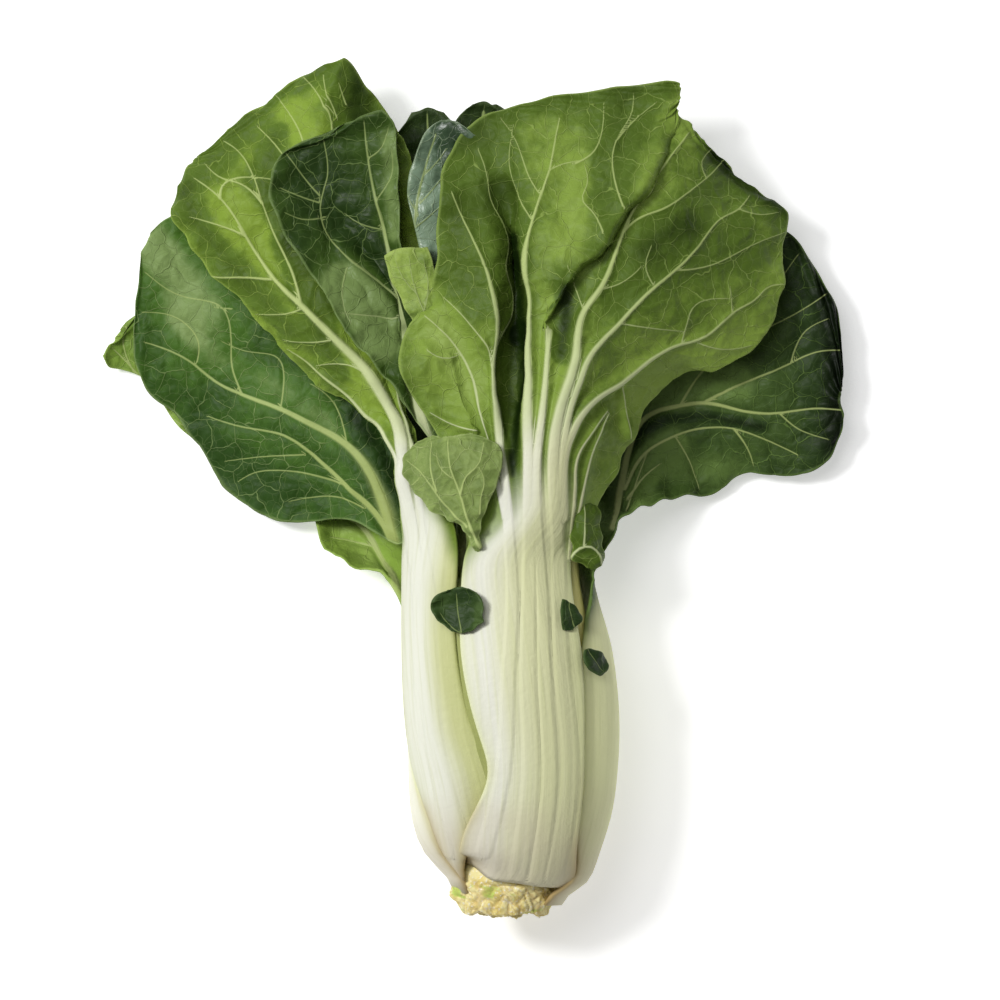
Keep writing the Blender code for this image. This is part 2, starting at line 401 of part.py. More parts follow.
def leaf_faces(rows, rings, columns):
    """Outer face grid and the face opposite, set back along the surface's own normal."""
    points, thick = leaf_rows(rows)
    steps = np.linalg.norm(np.diff(points[:, 2], axis=0), axis=1)
    along = np.concatenate([[0.0], np.cumsum(steps)])
    sample = np.linspace(0.0, along[-1], rings + 1)
    rails = spline(along, points, sample)
    rail_thick = spline(along, thick, sample)
    across = np.linspace(-1.0, 1.0, columns + 1)
    outer = cross_curves(rails, across)
    du = np.gradient(outer, axis=0)
    dv = np.gradient(outer, axis=1)
    normal = np.cross(dv, du)
    normal /= np.linalg.norm(normal, axis=2, keepdims=True)
    share = (1.0 - across**2)[None, :]
    depth = rail_thick[:, 1:2] + (rail_thick[:, 0:1] - rail_thick[:, 1:2]) * share
    depth = np.maximum(depth, 0.6)
    inner = outer - normal * depth[:, :, None]
    return outer, inner


def closed_body(outer, inner):
    """Vertices and quads of the closed body between two matching grids."""
    rings, columns = outer.shape[0], outer.shape[1]
    vertices = np.concatenate([outer.reshape(-1, 3), inner.reshape(-1, 3)])
    index = np.arange(rings * columns).reshape(rings, columns)
    under = index + rings * columns
    quads = []
    quads.append(np.stack([index[:-1, :-1], index[:-1, 1:], index[1:, 1:], index[1:, :-1]], -1))
    quads.append(np.stack([under[:-1, :-1], under[1:, :-1], under[1:, 1:], under[:-1, 1:]], -1))
    quads.append(np.stack([index[:-1, 0], index[1:, 0], under[1:, 0], under[:-1, 0]], -1))
    quads.append(np.stack([index[:-1, -1], under[:-1, -1], under[1:, -1], index[1:, -1]], -1))
    quads.append(np.stack([index[0, :-1], under[0, :-1], under[0, 1:], index[0, 1:]], -1))
    quads.append(np.stack([index[-1, :-1], index[-1, 1:], under[-1, 1:], under[-1, :-1]], -1))
    faces = np.concatenate([q.reshape(-1, 4) for q in quads])
    return vertices, faces


def add_body(name, vertices, faces, colour, roughness, home):
    mesh = bpy.data.meshes.new(name)
    mesh.from_pydata(vertices.tolist(), [], faces.tolist())
    mesh.update()
    for polygon in mesh.polygons:
        polygon.use_smooth = True
    body = bpy.data.objects.new(name, mesh)
    material = bpy.data.materials.new(name)
    material.use_nodes = True
    shader = material.node_tree.nodes["Principled BSDF"]
    shader.inputs["Base Color"].default_value = (*colour, 1.0)
    shader.inputs["Roughness"].default_value = roughness
    shader.inputs["Metallic"].default_value = 0.0
    mesh.materials.append(material)
    home.objects.link(body)
    return body


def core_body():
    """Short flattened butt: rings along the head's length, closed by a face at each end."""
    turns = np.arange(CORE_SIDES) / CORE_SIDES * 2 * math.pi
    rings = []
    for y, radius in CORE_PROFILE:
        x = CORE_CENTRE[0] + radius * np.cos(turns)
        z = CORE_CENTRE[1] + SQUASH * radius * np.sin(turns)
        rings.append(np.stack([x, np.full(CORE_SIDES, y), z], axis=1))
    vertices = np.concatenate(rings)
    faces = []
    following = np.roll(np.arange(CORE_SIDES), -1)
    for k in range(len(rings) - 1):
        low = k * CORE_SIDES
        high = low + CORE_SIDES
        for i in range(CORE_SIDES):
            faces.append((low + i, high + i, high + following[i], low + following[i]))
    bottom = tuple(range(CORE_SIDES))
    top = tuple(range((len(rings) - 1) * CORE_SIDES, len(rings) * CORE_SIDES))[::-1]
    return vertices, faces, [bottom, top]


for old in list(bpy.data.objects):
    bpy.data.objects.remove(old)
home = bpy.data.collections.new("bok_choy")
bpy.context.scene.collection.children.link(home)

bodies = []
for name, rows, rings, columns, colour, roughness in LEAVES:
    outer, inner = leaf_faces(rows, rings, columns)
    vertices, faces = closed_body(outer, inner)
    bodies.append((name, vertices * MM, faces.tolist(), colour, roughness))
vertices, sides, caps = core_body()
bodies.append(("core", vertices * MM, sides + caps, CORE_COLOUR, CORE_ROUGHNESS))

every = np.concatenate([entry[1] for entry in bodies])
low = every.min(axis=0)
high = every.max(axis=0)
shift = -np.array([(low[0] + high[0]) / 2, (low[1] + high[1]) / 2, low[2]])
for name, vertices, faces, colour, roughness in bodies:
    add_body(name, vertices + shift, np.array(faces, dtype=object), colour, roughness, home)
for body in home.objects:
    shape = bmesh.new()
    shape.from_mesh(body.data)
    bmesh.ops.recalc_face_normals(shape, faces=shape.faces)
    shape.to_mesh(body.data)
    shape.free()
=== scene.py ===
"""Bok choy head lying on its back: pale stalks from one core, ruffled green blades.

Tables are in millimetres: +X to the right, +Y from the core towards the leaf tips, +Z up.
"""

import bpy
import numpy as np
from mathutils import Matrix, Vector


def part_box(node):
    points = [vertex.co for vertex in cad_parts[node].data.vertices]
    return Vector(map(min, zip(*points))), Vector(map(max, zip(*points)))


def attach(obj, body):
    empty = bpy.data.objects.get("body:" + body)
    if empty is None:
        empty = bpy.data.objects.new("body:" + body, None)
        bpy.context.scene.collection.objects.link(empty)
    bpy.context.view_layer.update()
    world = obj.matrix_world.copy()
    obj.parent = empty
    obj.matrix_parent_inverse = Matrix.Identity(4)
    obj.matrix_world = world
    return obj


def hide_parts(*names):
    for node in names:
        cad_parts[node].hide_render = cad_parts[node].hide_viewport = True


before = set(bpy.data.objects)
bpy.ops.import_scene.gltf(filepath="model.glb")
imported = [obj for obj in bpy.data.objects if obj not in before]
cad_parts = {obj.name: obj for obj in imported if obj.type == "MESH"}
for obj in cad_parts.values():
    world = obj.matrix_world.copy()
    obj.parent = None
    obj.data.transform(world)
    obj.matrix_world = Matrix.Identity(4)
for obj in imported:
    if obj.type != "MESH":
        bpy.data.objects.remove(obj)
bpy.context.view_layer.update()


# --- Core --------------------------------------------------------------------------------
# The short butt that every stalk grows from.  A knife went across it, so its end is rough
# and fibrous: cream flesh drying to brown, with torn green bits along the rim.
MM = 0.001
CORE_MIDDLE = (10.5, 33.0)
CORE_FOOT = -150.5
CORE_TURNS = 220
CORE_STEPS = 150
# the y over which torn flesh gives way to smooth, the furthest that it sticks out, and the
# sizes of its lumps
CORE_TORN = (-141.0, -136.0)
CORE_FRONT = -152.0
BIG_LUMP = 5.2
SMALL_LUMP = 2.1
# the whole head is this much lower than it is wide
HEAD_SQUASH = 0.857
LATTICE_START = 512.0
CELL_JITTER = 0.42
NEXT_SEED = 7
FAR_AWAY = 1e9
TINY = 1e-6
# radius and y of the core's profile, from the cut to where the stalks hide it
CORE_PATH = (
    (0, -149), (6, -149.8), (11.5, -150), (14.6, -149.4), (16.2, -147.2), (17.2, -144.5), (18.4, -141.5),
    (19.4, -138.5), (19.6, -135), (18, -132.5), (12, -131.5), (0, -131.5),
)
# the tables' zero in the frame, from where the core's box stands
core_low, core_high = (np.array(corner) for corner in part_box("core"))
HOME = (core_low + core_high) / 2 - np.array([CORE_MIDDLE[0], 0.0, CORE_MIDDLE[1]]) * MM
HOME[1] = core_low[1] - CORE_FOOT * MM


def ease(low, high, value):
    """Smooth step: 0 below low, 1 above high, 3t^2 - 2t^3 between."""
    t = np.clip((value - low) / (high - low), 0.0, 1.0)
    return t * t * (3.0 - 2.0 * t)


def bell(*gaps):
    """Bell in one or more directions: e to the minus sum of (offset squared / spread)."""
    return np.exp(-sum(offset**2 / spread for offset, spread in gaps))


def lengths(points, axis=0):
    """Running length along a path of points, or along one direction of a grid of them."""
    steps = np.linalg.norm(np.diff(points, axis=axis), axis=-1)
    zero = np.zeros_like(np.take(steps, [0], axis=axis))
    return np.concatenate([zero, np.cumsum(steps, axis=axis)], axis=axis)


def lattice(i, j, seed):
    """Repeatable number from -1 to 1 for each whole-number place, by mixing its digits."""
    n = (i * 374761393 + j * 668265263 + seed * 362437) & 0xFFFFFFFF
    n = ((n ^ (n >> 13)) * 1274126177) & 0xFFFFFFFF
    return ((n ^ (n >> 16)) & 0xFFFF) / 32767.5 - 1.0


def mottle(x, y, size, seed):
    """Smooth noise from -1 to 1: lattice numbers a `size` apart, blended by 3t^2 - 2t^3."""
    x = np.asarray(x) / size + LATTICE_START
    y = np.asarray(y) / size + LATTICE_START
    i = np.floor(x).astype(np.int64)
    j = np.floor(y).astype(np.int64)
    a = ease(0.0, 1.0, x - i)
    b = ease(0.0, 1.0, y - j)
    low = lattice(i, j, seed) * (1 - a) + lattice(i + 1, j, seed) * a
    high = lattice(i, j + 1, seed) * (1 - a) + lattice(i + 1, j + 1, seed) * a
    return low * (1 - b) + high * b


def cell_borders(x, y, size, seed):
    """Distance to the nearest border between cells grown round jittered lattice points.

    The border between two cells is half way between their points, so its distance is half
    the difference of the squared distances, over the distance between the points.
    """
    i = np.floor(x / size).astype(np.int64)
    j = np.floor(y / size).astype(np.int64)
    best = np.full(x.shape, FAR_AWAY)
    own_x = np.zeros(x.shape)
    own_y = np.zeros(x.shape)
    spots = []
    for a in (-1, 0, 1):
        for b in (-1, 0, 1):
            px = (i + a + 0.5 + CELL_JITTER * lattice(i + a, j + b, seed)) * size
            py = (j + b + 0.5 + CELL_JITTER * lattice(i + a, j + b, seed + NEXT_SEED)) * size
            gap = (px - x) ** 2 + (py - y) ** 2
            closer = gap < best
            best = np.where(closer, gap, best)
            own_x = np.where(closer, px, own_x)
            own_y = np.where(closer, py, own_y)
            spots.append((px, py, gap))
    border = np.full(x.shape, FAR_AWAY)
    for px, py, gap in spots:
        apart = np.hypot(px - own_x, py - own_y)
        half = (gap - best) / (2.0 * np.maximum(apart, TINY))
        border = np.where(apart > TINY, np.minimum(border, half), border)
    return border


def put_mesh(name, points, faces, marks, skin, node):
    """Mesh from points in table millimetres; marks are numbers kept on each point."""
    mesh = bpy.data.meshes.new(name)
    mesh.from_pydata((points * MM + HOME).astype(np.float32), [], faces)
    mesh.polygons.foreach_set("use_smooth", np.ones(len(faces), bool))
    for mark, values in marks.items():
        layer = mesh.attributes.new(mark, "FLOAT", "POINT")
        layer.data.foreach_set("value", np.ascontiguousarray(values, np.float32).ravel())
    mesh.materials.append(skin)
    mesh.update()
    piece = bpy.data.objects.new(name, mesh)
    bpy.context.scene.collection.objects.link(piece)
    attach(piece, "root")
    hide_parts(node)
    return piece


def core_points():
    """Profile of radius and height turned round the axis and pushed out by torn-flesh lumps.

    A lump rises from its border: one minus e to the minus border distance over its edge's
    width.  Near the cut the push goes along the axis instead, with two notches across it.
    Gives the points, the distance to a lump's border, and the share that is torn.
    """
    path = np.array(CORE_PATH, float)
    walk = lengths(path)
    step = np.linspace(0.0, walk[-1], CORE_STEPS + 2)[1:-1]
    radius = np.interp(step, walk, path[:, 0])[:, None]
    along = np.interp(step, walk, path[:, 1])[:, None]
    turn = np.arange(CORE_TURNS)[None, :] / CORE_TURNS * 2 * np.pi
    x = radius * np.cos(turn)
    z = radius * np.sin(turn)
    y = along + 0 * x
    torn = 1.0 - ease(*CORE_TORN, y)
    # the lumps lie on two skewed, wavering directions, so that no row of them shows
    wide = x + 1.5 * mottle(x, y, 3.0, 4)
    tall = y * 1.3 + 1.1 * (18.0 - z) + 1.5 * mottle(z, x, 3.4, 5)
    big = cell_borders(wide, tall, BIG_LUMP, 21)
    small = cell_borders(wide + 4, tall, SMALL_LUMP, 22)
    lumps = 1.3 * (1.0 - np.exp(-big / 0.8)) + 0.4 * (1.0 - np.exp(-small / 0.4))
    rough = 0.35 * mottle(x * 1.5, z + y, 0.9, 8) + 0.9 * mottle(x, y + z, 3.6, 9)
    push = (lumps + rough - 1.3) * torn
    flap = bell((x + 17.0, 9.0), (y + 143.0, 9.0), (z - 4.0, 9.0))
    size = np.maximum(np.hypot(x, z), TINY)
    outward = (push * 0.8 + 2.6 * flap) * ease(0.0, 9.0, size)
    notch = 1.4 * bell((x - 8.0, 5.0)) + 1.2 * bell((x + 9.0, 4.0))
    y = y - push * torn * (1.0 - ease(9.0, 16.0, size))
    y = y + (notch - 1.0) * (1.0 - ease(-149.5, -146.0, along + 0 * x))
    y = np.maximum(y, CORE_FRONT)
    x = x * (1.0 + outward / size)
    z = z * (1.0 + outward / size)
    points = np.stack([CORE_MIDDLE[0] + x, y, CORE_MIDDLE[1] + HEAD_SQUASH * z], axis=-1)
    return points, np.minimum(big, small * 1.6), torn


def add_node(tree, kind, *placed, **named):
    """Shader node with its inputs set by place or by name; a socket given is linked."""
    node = tree.nodes.new(kind)
    for key, value in [*enumerate(placed), *named.items()]:
        if isinstance(value, bpy.types.NodeSocket):
            tree.links.new(value, node.inputs[key])
        else:
            node.inputs[key].default_value = value
    return node


def math_node(tree, operation, a, b=0.0, c=0.0):
    """Result of one sum on numbers or sockets."""
    node = add_node(tree, "ShaderNodeMath", a, b, c)
    node.operation = operation
    return node.outputs[0]


def mix_colour(tree, share, a, b, how="MIX"):
    """Colour a turned into colour b, or multiplied by it, by a share from 0 to 1."""
    node = tree.nodes.new("ShaderNodeMix")
    node.data_type = "RGBA"
    node.blend_type = how
    tree.links.new(share, node.inputs[0])
    for index, value in ((6, a), (7, b)):
        if isinstance(value, bpy.types.NodeSocket):
            tree.links.new(value, node.inputs[index])
        else:
            node.inputs[index].default_value = (*value, 1.0)
    return node.outputs[2]


def ramp(tree, value, low, high, to_low=0.0, to_high=1.0):
    """Smooth step from to_low, at low, to to_high, at high."""
    node = add_node(tree, "ShaderNodeMapRange", value, low, high, to_low, to_high)
    node.interpolation_type = "SMOOTHSTEP"
    return node.outputs[0]


def mark_value(tree, name):
    """Number that the mesh keeps on each point under this name."""
    node = tree.nodes.new("ShaderNodeAttribute")
    node.attribute_name = name
    return node.outputs["Fac"]


CORE_CREAM = (0.90, 0.80, 0.37)
CORE_YELLOW = (0.80, 0.65, 0.20)
CORE_PALE = (0.96, 0.94, 0.80)
CORE_GREEN = (0.50, 0.66, 0.12)
CORE_BROWN = (0.55, 0.37, 0.13)
core_skin = bpy.data.materials.new("core_skin")
core_skin.use_nodes = True
tree = core_skin.node_tree
shader = tree.nodes["Principled BSDF"]
place = tree.nodes.new("ShaderNodeTexCoord").outputs["Object"]
coarse = add_node(tree, "ShaderNodeTexNoise", Vector=place, Scale=190.0, Detail=5.0)
fine = add_node(tree, "ShaderNodeTexNoise", Vector=place, Scale=900.0, Detail=4.0)
flesh = mix_colour(tree, ramp(tree, coarse.outputs[0], 0.45, 0.65), CORE_CREAM, CORE_YELLOW)
flesh = mix_colour(tree, ramp(tree, fine.outputs[0], 0.55, 0.7), flesh, CORE_PALE)
flesh = mix_colour(tree, mark_value(tree, "green"), flesh, CORE_GREEN)
flesh = mix_colour(tree, mark_value(tree, "dry"), flesh, CORE_BROWN)
tree.links.new(flesh, shader.inputs["Base Color"])
shader.inputs["Roughness"].default_value = 0.65
bump = add_node(tree, "ShaderNodeBump", Strength=0.6, Distance=0.0006, Height=fine.outputs[0])
tree.links.new(bump.outputs[0], shader.inputs["Normal"])

points, border, torn = core_points()
px, py, pz = np.moveaxis(points, -1, 0)
# two green patches low on the cut and green flecks, then brown in the cracks and in spots
patch = bell((px - 4.8, 9.0), (py + 142.5, 6.0)) * ease(30.0, 40.0, pz)
patch = np.maximum(patch, bell((px + 6.5, 5.0), (py + 142.0, 7.0)) * ease(20.0, 30.0, pz))
flecks = ease(0.3, 0.8, mottle(px, pz + 2 * py, 4.5, 11)) * torn
green = ease(0.3, 0.75, patch + 0.5 * flecks + 0.2 * mottle(px, py, 1.2, 13))
dry = (1.0 - ease(0.0, 0.5, border)) * torn * 0.6
dry = np.maximum(dry, 0.55 * torn * ease(0.35, 0.9, mottle(px + 9, pz - py, 2.6, 12)))
# each end is closed by a fan round one middle point
tips = [[CORE_MIDDLE[0], points[end, :, 1].mean(), CORE_MIDDLE[1]] for end in (0, -1)]
flat = np.concatenate([tips[:1], points.reshape(-1, 3), tips[1:]])
index = 1 + np.arange(px.size).reshape(px.shape)
ahead = np.roll(index, -1, axis=1)
quads = np.stack([index[:-1], index[1:], ahead[1:], ahead[:-1]], -1).reshape(-1, 4).tolist()
fans = np.stack([np.zeros_like(index[0]), index[0], ahead[0]], -1).tolist()
fans += np.stack([np.full_like(index[-1], len(flat) - 1), ahead[-1], index[-1]], -1).tolist()
marks = {name: np.pad(grid.ravel(), 1, mode="edge") for name, grid in (("green", green), ("dry", dry))}
put_mesh("core_butt", flat, quads + fans, marks, core_skin, "core")


# --- Back leaf ---------------------------------------------------------------------------
# The broad leaf that the head lies on, its blade flat on the table under all the others.
# It is one soft sheet: a thick ribbed stalk thinning out into a blade with raised veins.

# the bunched stalks of the head: at each y, the middle's x and z and the radius round it
HEAD_Y = (-145, -141, -137.5, -130.5, -116.5, -102, -88.5, -74, -57, -40, -25, -10)
HEAD_X = (12, 13.5, 14.5, 13.4, 12.8, 12.7, 12.6, 11.8, 10.5, 8.5, 7, 6)
HEAD_Z = (33, 33, 33, 33, 33, 33, 33, 33, 32.6, 31.4, 30.3, 29.5)
HEAD_R = (14, 20.5, 25, 30, 35, 37.3, 38.2, 38.5, 37.5, 35.5, 34, 33)
# A leaf's table runs from foot to tip.  A stalk row holds y, the angles round the head of
# its first edge, rib and last edge (0 up, 90 right), the share of the head's radius, how far
# each edge is tucked in, and its thickness.  A blade row holds x, y, z of its first edge, rib
# and last edge, how high each half arches, and its thickness.  A vein's row holds its width
# at its start and at its end, and its line in plan; a stroke's row holds how much lighter it
# makes the blade (below 0, darker), the size of its bell, and its line.  The strokes are
# partly the leaf's own tint and partly painted shade, painted shadow and painted sheen.
STALK_NUMBERS = 8
HALF_TUCK = 0.3
# rings in the stalk for each one in the blade, and samples along the rib to place them by
STALK_RINGS = 0.3
RIB_SAMPLES = 600
# veins: a thick one's least width, the step along a line, how far a vein is felt, what is
# kept beyond that, and how little a difference in height counts
THICK_VEIN = 3.0
VEIN_STEP = 2.0
VEIN_REACH = 12.0
FAR_MIDDLE = 6.0
FAR_GIRTH = 0.2
VEIN_SCALE = (1.0, 1.0, 0.3)
# jags of the margin: sizes, and how far in from the margin they fade
SCALLOP_SIZES = (9.0, 5.0)
SCALLOP_DEPTH = 5.0
# swelling between veins: how its cells waver, how steep it starts, and the share of z that
# stretches the pattern where the blade is steep
WARP_SIZE = 7.0
WARP_REACH = 2.6
PUCKER_EDGE = 2.6
SAG_EDGE = 5.0
STEEP_SHARE = 0.35
# pleats above the stalk: depth, steepness and how far up the leaf they fade
PLEAT = 1.6
PLEAT_EDGE = 1.6
PLEAT_LENGTH = 60.0
ROLL_SIZES = (21.0, 9.0, 4.5)
# long ribs of the stalk: widths and heights
RIB_SIZES = (2.4, 7.0)
RIB_HEIGHTS = (0.15, 0.54)
# thickness of the blade and of the stalk's margin, and the veins' share of relief on them
BLADE_THICK = 0.75
STALK_EDGE = 2.2
STALK_VEIN = 0.05
FLESHY_VEIN = 0.55
MARGIN_ROUND = 0.06
TABLE_SOFTNESS = 0.3
# where veins lose the stalk's paleness above the white, and where the foot browns
AGE_LENGTH = 75.0
FOOT = (-148.0, -96.0)


def cubic(ahead, gap, low, high, bend_low, bend_high):
    """Point a share `ahead` through a cubic span, from its ends and their second slopes."""
    behind = 1.0 - ahead
    curve = behind * low + ahead * high
    curve += (behind**3 - behind) * bend_low * gap**2 / 6.0
    curve += (ahead**3 - ahead) * bend_high * gap**2 / 6.0
    return curve


def spline_bends(steps, points):
    """Second slopes of the natural cubic spline through each row of points, `steps` apart."""
    count = points.shape[-2]
    system = np.zeros(points.shape[:-1] + (count,)) + np.eye(count)
    right = np.zeros(points.shape)
    slopes = np.diff(points, axis=-2) / steps[..., None]
    for k in range(1, count - 1):
        system[..., k, k - 1] = steps[..., k - 1]
        system[..., k, k] = 2.0 * (steps[..., k - 1] + steps[..., k])
        system[..., k, k + 1] = steps[..., k]
        right[..., k, :] = 6.0 * (slopes[..., k, :] - slopes[..., k - 1, :])
    return np.linalg.solve(system, right)


def spline(knots, values, at):
    """Natural cubic spline through values at the knots, worked out at `at`."""
    flat = np.asarray(values, float).reshape(len(knots), -1)
    gaps = np.diff(knots)
    bend = spline_bends(gaps, flat)
    cell = np.clip(np.searchsorted(knots, at, side="right") - 1, 0, len(knots) - 2)
    gap = gaps[cell][:, None]
    ahead = (at[:, None] - knots[cell][:, None]) / gap
    curve = cubic(ahead, gap, flat[cell], flat[cell + 1], bend[cell], bend[cell + 1])
    return curve.reshape((len(at),) + np.shape(values)[1:])


def cross_curves(rows, across):
    """Natural cubic spline through the five points of every row, spaced by chord length.

    `across` runs from -1 at the first edge over 0 at the rib to 1 at the last edge.
    """
    steps = np.maximum(np.linalg.norm(np.diff(rows, axis=1), axis=2), TINY)
    knots = np.concatenate([np.zeros((len(rows), 1)), np.cumsum(steps, axis=1)], axis=1)
    bend = spline_bends(steps, rows)
    low = np.where(across < 0, 0, 2)
    share = np.where(across < 0, across + 1.0, across)
    row = np.arange(len(rows))[:, None]
    at = knots[:, low] + share * (knots[:, low + 2] - knots[:, low])
    cell = low[None, :] + (at > knots[:, low + 1]).astype(int)
    gap = steps[row, cell][..., None]
    ahead = (at - knots[row, cell])[..., None] / gap
    after = cell + 1
    return cubic(ahead, gap, rows[row, cell], rows[row, after], bend[row, cell], bend[row, after])


def cross_row(row):
    """Five points of a table row: round the head for a stalk, given outright for a blade."""
    if len(row) == STALK_NUMBERS:
        y, first, rib, last, share, tuck_first, tuck_last, _ = row
        angles = np.radians([first, (first + rib) / 2, rib, (rib + last) / 2, last])
        tucks = np.array([tuck_first, HALF_TUCK * tuck_first, 0.0, HALF_TUCK * tuck_last, tuck_last])
        reach = share * np.interp(y, HEAD_Y, HEAD_R) - tucks
        x = np.interp(y, HEAD_Y, HEAD_X) + reach * np.sin(angles)
        z = np.interp(y, HEAD_Y, HEAD_Z) + HEAD_SQUASH * reach * np.cos(angles)
        return np.stack([x, np.full(5, y), z], axis=1)
    first, rib, last = np.array(row[:9], float).reshape(3, 3)
    arch_first, arch_last = np.outer(row[9:11], (0.0, 0.0, 1.0))
    return np.stack([first, (first + rib) / 2 + arch_first, rib, (rib + last) / 2 + arch_last, last])


def leaf_sheet(rows, grid, blade_start):
    """Grid of points over a leaf's table, and the thickness along its rib.

    A spline carries the rows along the rib and another crosses each of them.  Rings stand
    closer together in the blade than in the stalk.
    """
    ring_count, column_count = grid
    sheet = np.array([cross_row(row) for row in rows])
    thick = np.array([row[-1] for row in rows])
    along = lengths(sheet[:, 2])
    walk = np.linspace(0.0, along[-1], RIB_SAMPLES)
    rib_y = np.interp(walk, along, sheet[:, 2, 1])
    crowd = np.cumsum(STALK_RINGS + (1.0 - STALK_RINGS) * ease(blade_start - 25.0, blade_start, rib_y))
    crowd = (crowd - crowd[0]) / (crowd[-1] - crowd[0])
    sample = np.interp(np.linspace(0.0, 1.0, ring_count + 1), crowd, walk)
    across = np.linspace(-1.0, 1.0, column_count + 1)
    base = cross_curves(spline(along, sheet, sample), across)
    return base, across[None, :] + 0 * base[:, :, 0], spline(along, thick, sample)[:, None]


def nearest(spots, line, scale=1.0):
    """Distance from each spot to a line of points, its hand, and how many steps along.

    On each straight step the nearest point is found by projection.  The hand is -1 left of
    the line and 1 right of it, seen from above; `scale` weighs the distance's directions.
    """
    best = np.full(spots.shape[:-1], FAR_AWAY)
    hand = np.ones(best.shape)
    gone = np.zeros(best.shape)
    for k, edge in enumerate(np.diff(line, axis=0)):
        share = np.clip((spots - line[k]) @ edge / max(edge @ edge, TINY), 0.0, 1.0)
        apart = (spots - line[k] - share[..., None] * edge) * scale
        gap = np.linalg.norm(apart, axis=-1)
        turn = apart[..., 0] * edge[1] - apart[..., 1] * edge[0]
        closer = gap < best
        best = np.where(closer, gap, best)
        hand = np.where(closer, np.where(turn < 0, -1.0, 1.0), hand)
        gone = np.where(closer, k + share, gone)
    return best, hand, gone


def vein_field(surface, veins):
    """Where every point stands to the nearest vein, its line laid on the surface from above.

    A vein is its width at its start and its end, and its line in plan.  Gives the ridge
    height (a bell across the vein), the signed distance to the vein's middle, its half
    width, the distance to its flank, and a soft mask of the vein.
    """
    points = surface.reshape(-1, 3)
    ridge = np.zeros(len(points))
    middle = np.full(len(points), FAR_MIDDLE)
    girth = np.full(len(points), FAR_GIRTH)
    near = np.full(len(points), VEIN_REACH)
    for start_width, end_width, path in veins:
        path = np.array(path, float)
        walk = lengths(path)
        count = max(3, int(walk[-1] / VEIN_STEP) + 1)
        line = spline(walk, path, np.linspace(0.0, walk[-1], count))
        gaps = (line[:, None, 0] - points[None, :, 0]) ** 2
        gaps += (line[:, None, 1] - points[None, :, 1]) ** 2
        height = points[np.argmin(gaps, axis=1), 2]
        for _ in range(3):
            padded = np.pad(height, 1, mode="edge")
            height = 0.25 * padded[:-2] + 0.5 * padded[1:-1] + 0.25 * padded[2:]
        laid = np.column_stack([line, height])
        close = np.nonzero(gaps.min(axis=0) < VEIN_REACH**2)[0]
        best, hand, gone = nearest(points[close], laid, VEIN_SCALE)
        # a thick vein keeps its width for longer, and its pale band takes up more of it
        taper = 1.25 if start_width > THICK_VEIN else 0.8
        width = start_width + (end_width - start_width) * (gone / (count - 1)) ** taper
        half = 0.5 * width * (0.42 + 0.4 * ease(1.2, 5.0, width))
        ratio = best / (0.5 * np.maximum(width, 1.8))
        rise = 0.34 * width * ease(0.3, 2.6, width) * np.exp(-0.9 * ratio**2)
        ridge[close] = np.maximum(ridge[close], rise)
        flank = best - half
        closer = flank < near[close]
        middle[close] = np.where(closer, best * hand, middle[close])
        girth[close] = np.where(closer, half, girth[close])
        near[close] = np.where(closer, flank, near[close])
    soft = 1.0 - ease(-0.3, 0.5, near)
    return [field.reshape(surface.shape[:2]) for field in (ridge, middle, girth, near, soft)]


def line_gap(x, y, path):
    """Signed distance to a line in plan, right of it positive, and the share gone along it."""
    path = np.array(path, float)
    walk = lengths(path)
    best, hand, gone = nearest(np.stack([x, y], axis=-1), path)
    return best * hand, np.interp(gone, np.arange(len(path)), walk) / walk[-1]


def fold(x, y, path, left, right, start, end):
    """Bell across a line, `left` and `right` wide on its two sides, fading at its ends."""
    gap, gone = line_gap(x, y, path)
    width = np.where(gap < 0, left, right)
    fade = ease(0.0, start, gone) * (1.0 - ease(1.0 - end, 1.0, gone))
    return np.exp(-(gap / width) ** 2) * fade


def stroke_sum(base, strokes):
    """Sum of soft strokes, each a strength times a bell as wide as its size across a line."""
    total = np.zeros(base.shape[:2])
    for strength, size, path in strokes:
        gap, _ = line_gap(base[..., 0], base[..., 1], path)
        total += strength * np.exp(-(gap / size) ** 2)
    return total


def leaf_faces(fine, rough, upper):
    """Points and faces of a closed leaf: the shown face, the hidden face and the wall.

    The hidden face has half the rings and columns of the shown one, so each face of the
    wall has five corners: three on the shown margin and two on the hidden one.
    """
    index = np.arange(fine[..., 0].size).reshape(fine.shape[:2])
    under = index.size + np.arange(rough[..., 0].size).reshape(rough.shape[:2])
    shown, hidden = (
        np.stack([g[:-1, :-1], g[:-1, 1:], g[1:, 1:], g[1:, :-1]], -1).reshape(-1, 4) for g in (index, under))
    hidden = hidden[:, [0, 3, 2, 1]]
    edge, far_edge = (
        np.concatenate([g[0, :-1], g[:-1, -1], g[-1, :0:-1], g[:0:-1, 0]]) for g in (index, under))
    wall = np.stack([np.roll(edge, -2)[::2], edge[1::2], edge[::2], far_edge, np.roll(far_edge, -1)], -1)
    if upper:
        shown, hidden, wall = shown[:, ::-1], hidden[:, ::-1], wall[:, ::-1]
    points = np.concatenate([fine.reshape(-1, 3), rough.reshape(-1, 3)])
    return points, shown.tolist() + hidden.tolist() + wall.tolist()


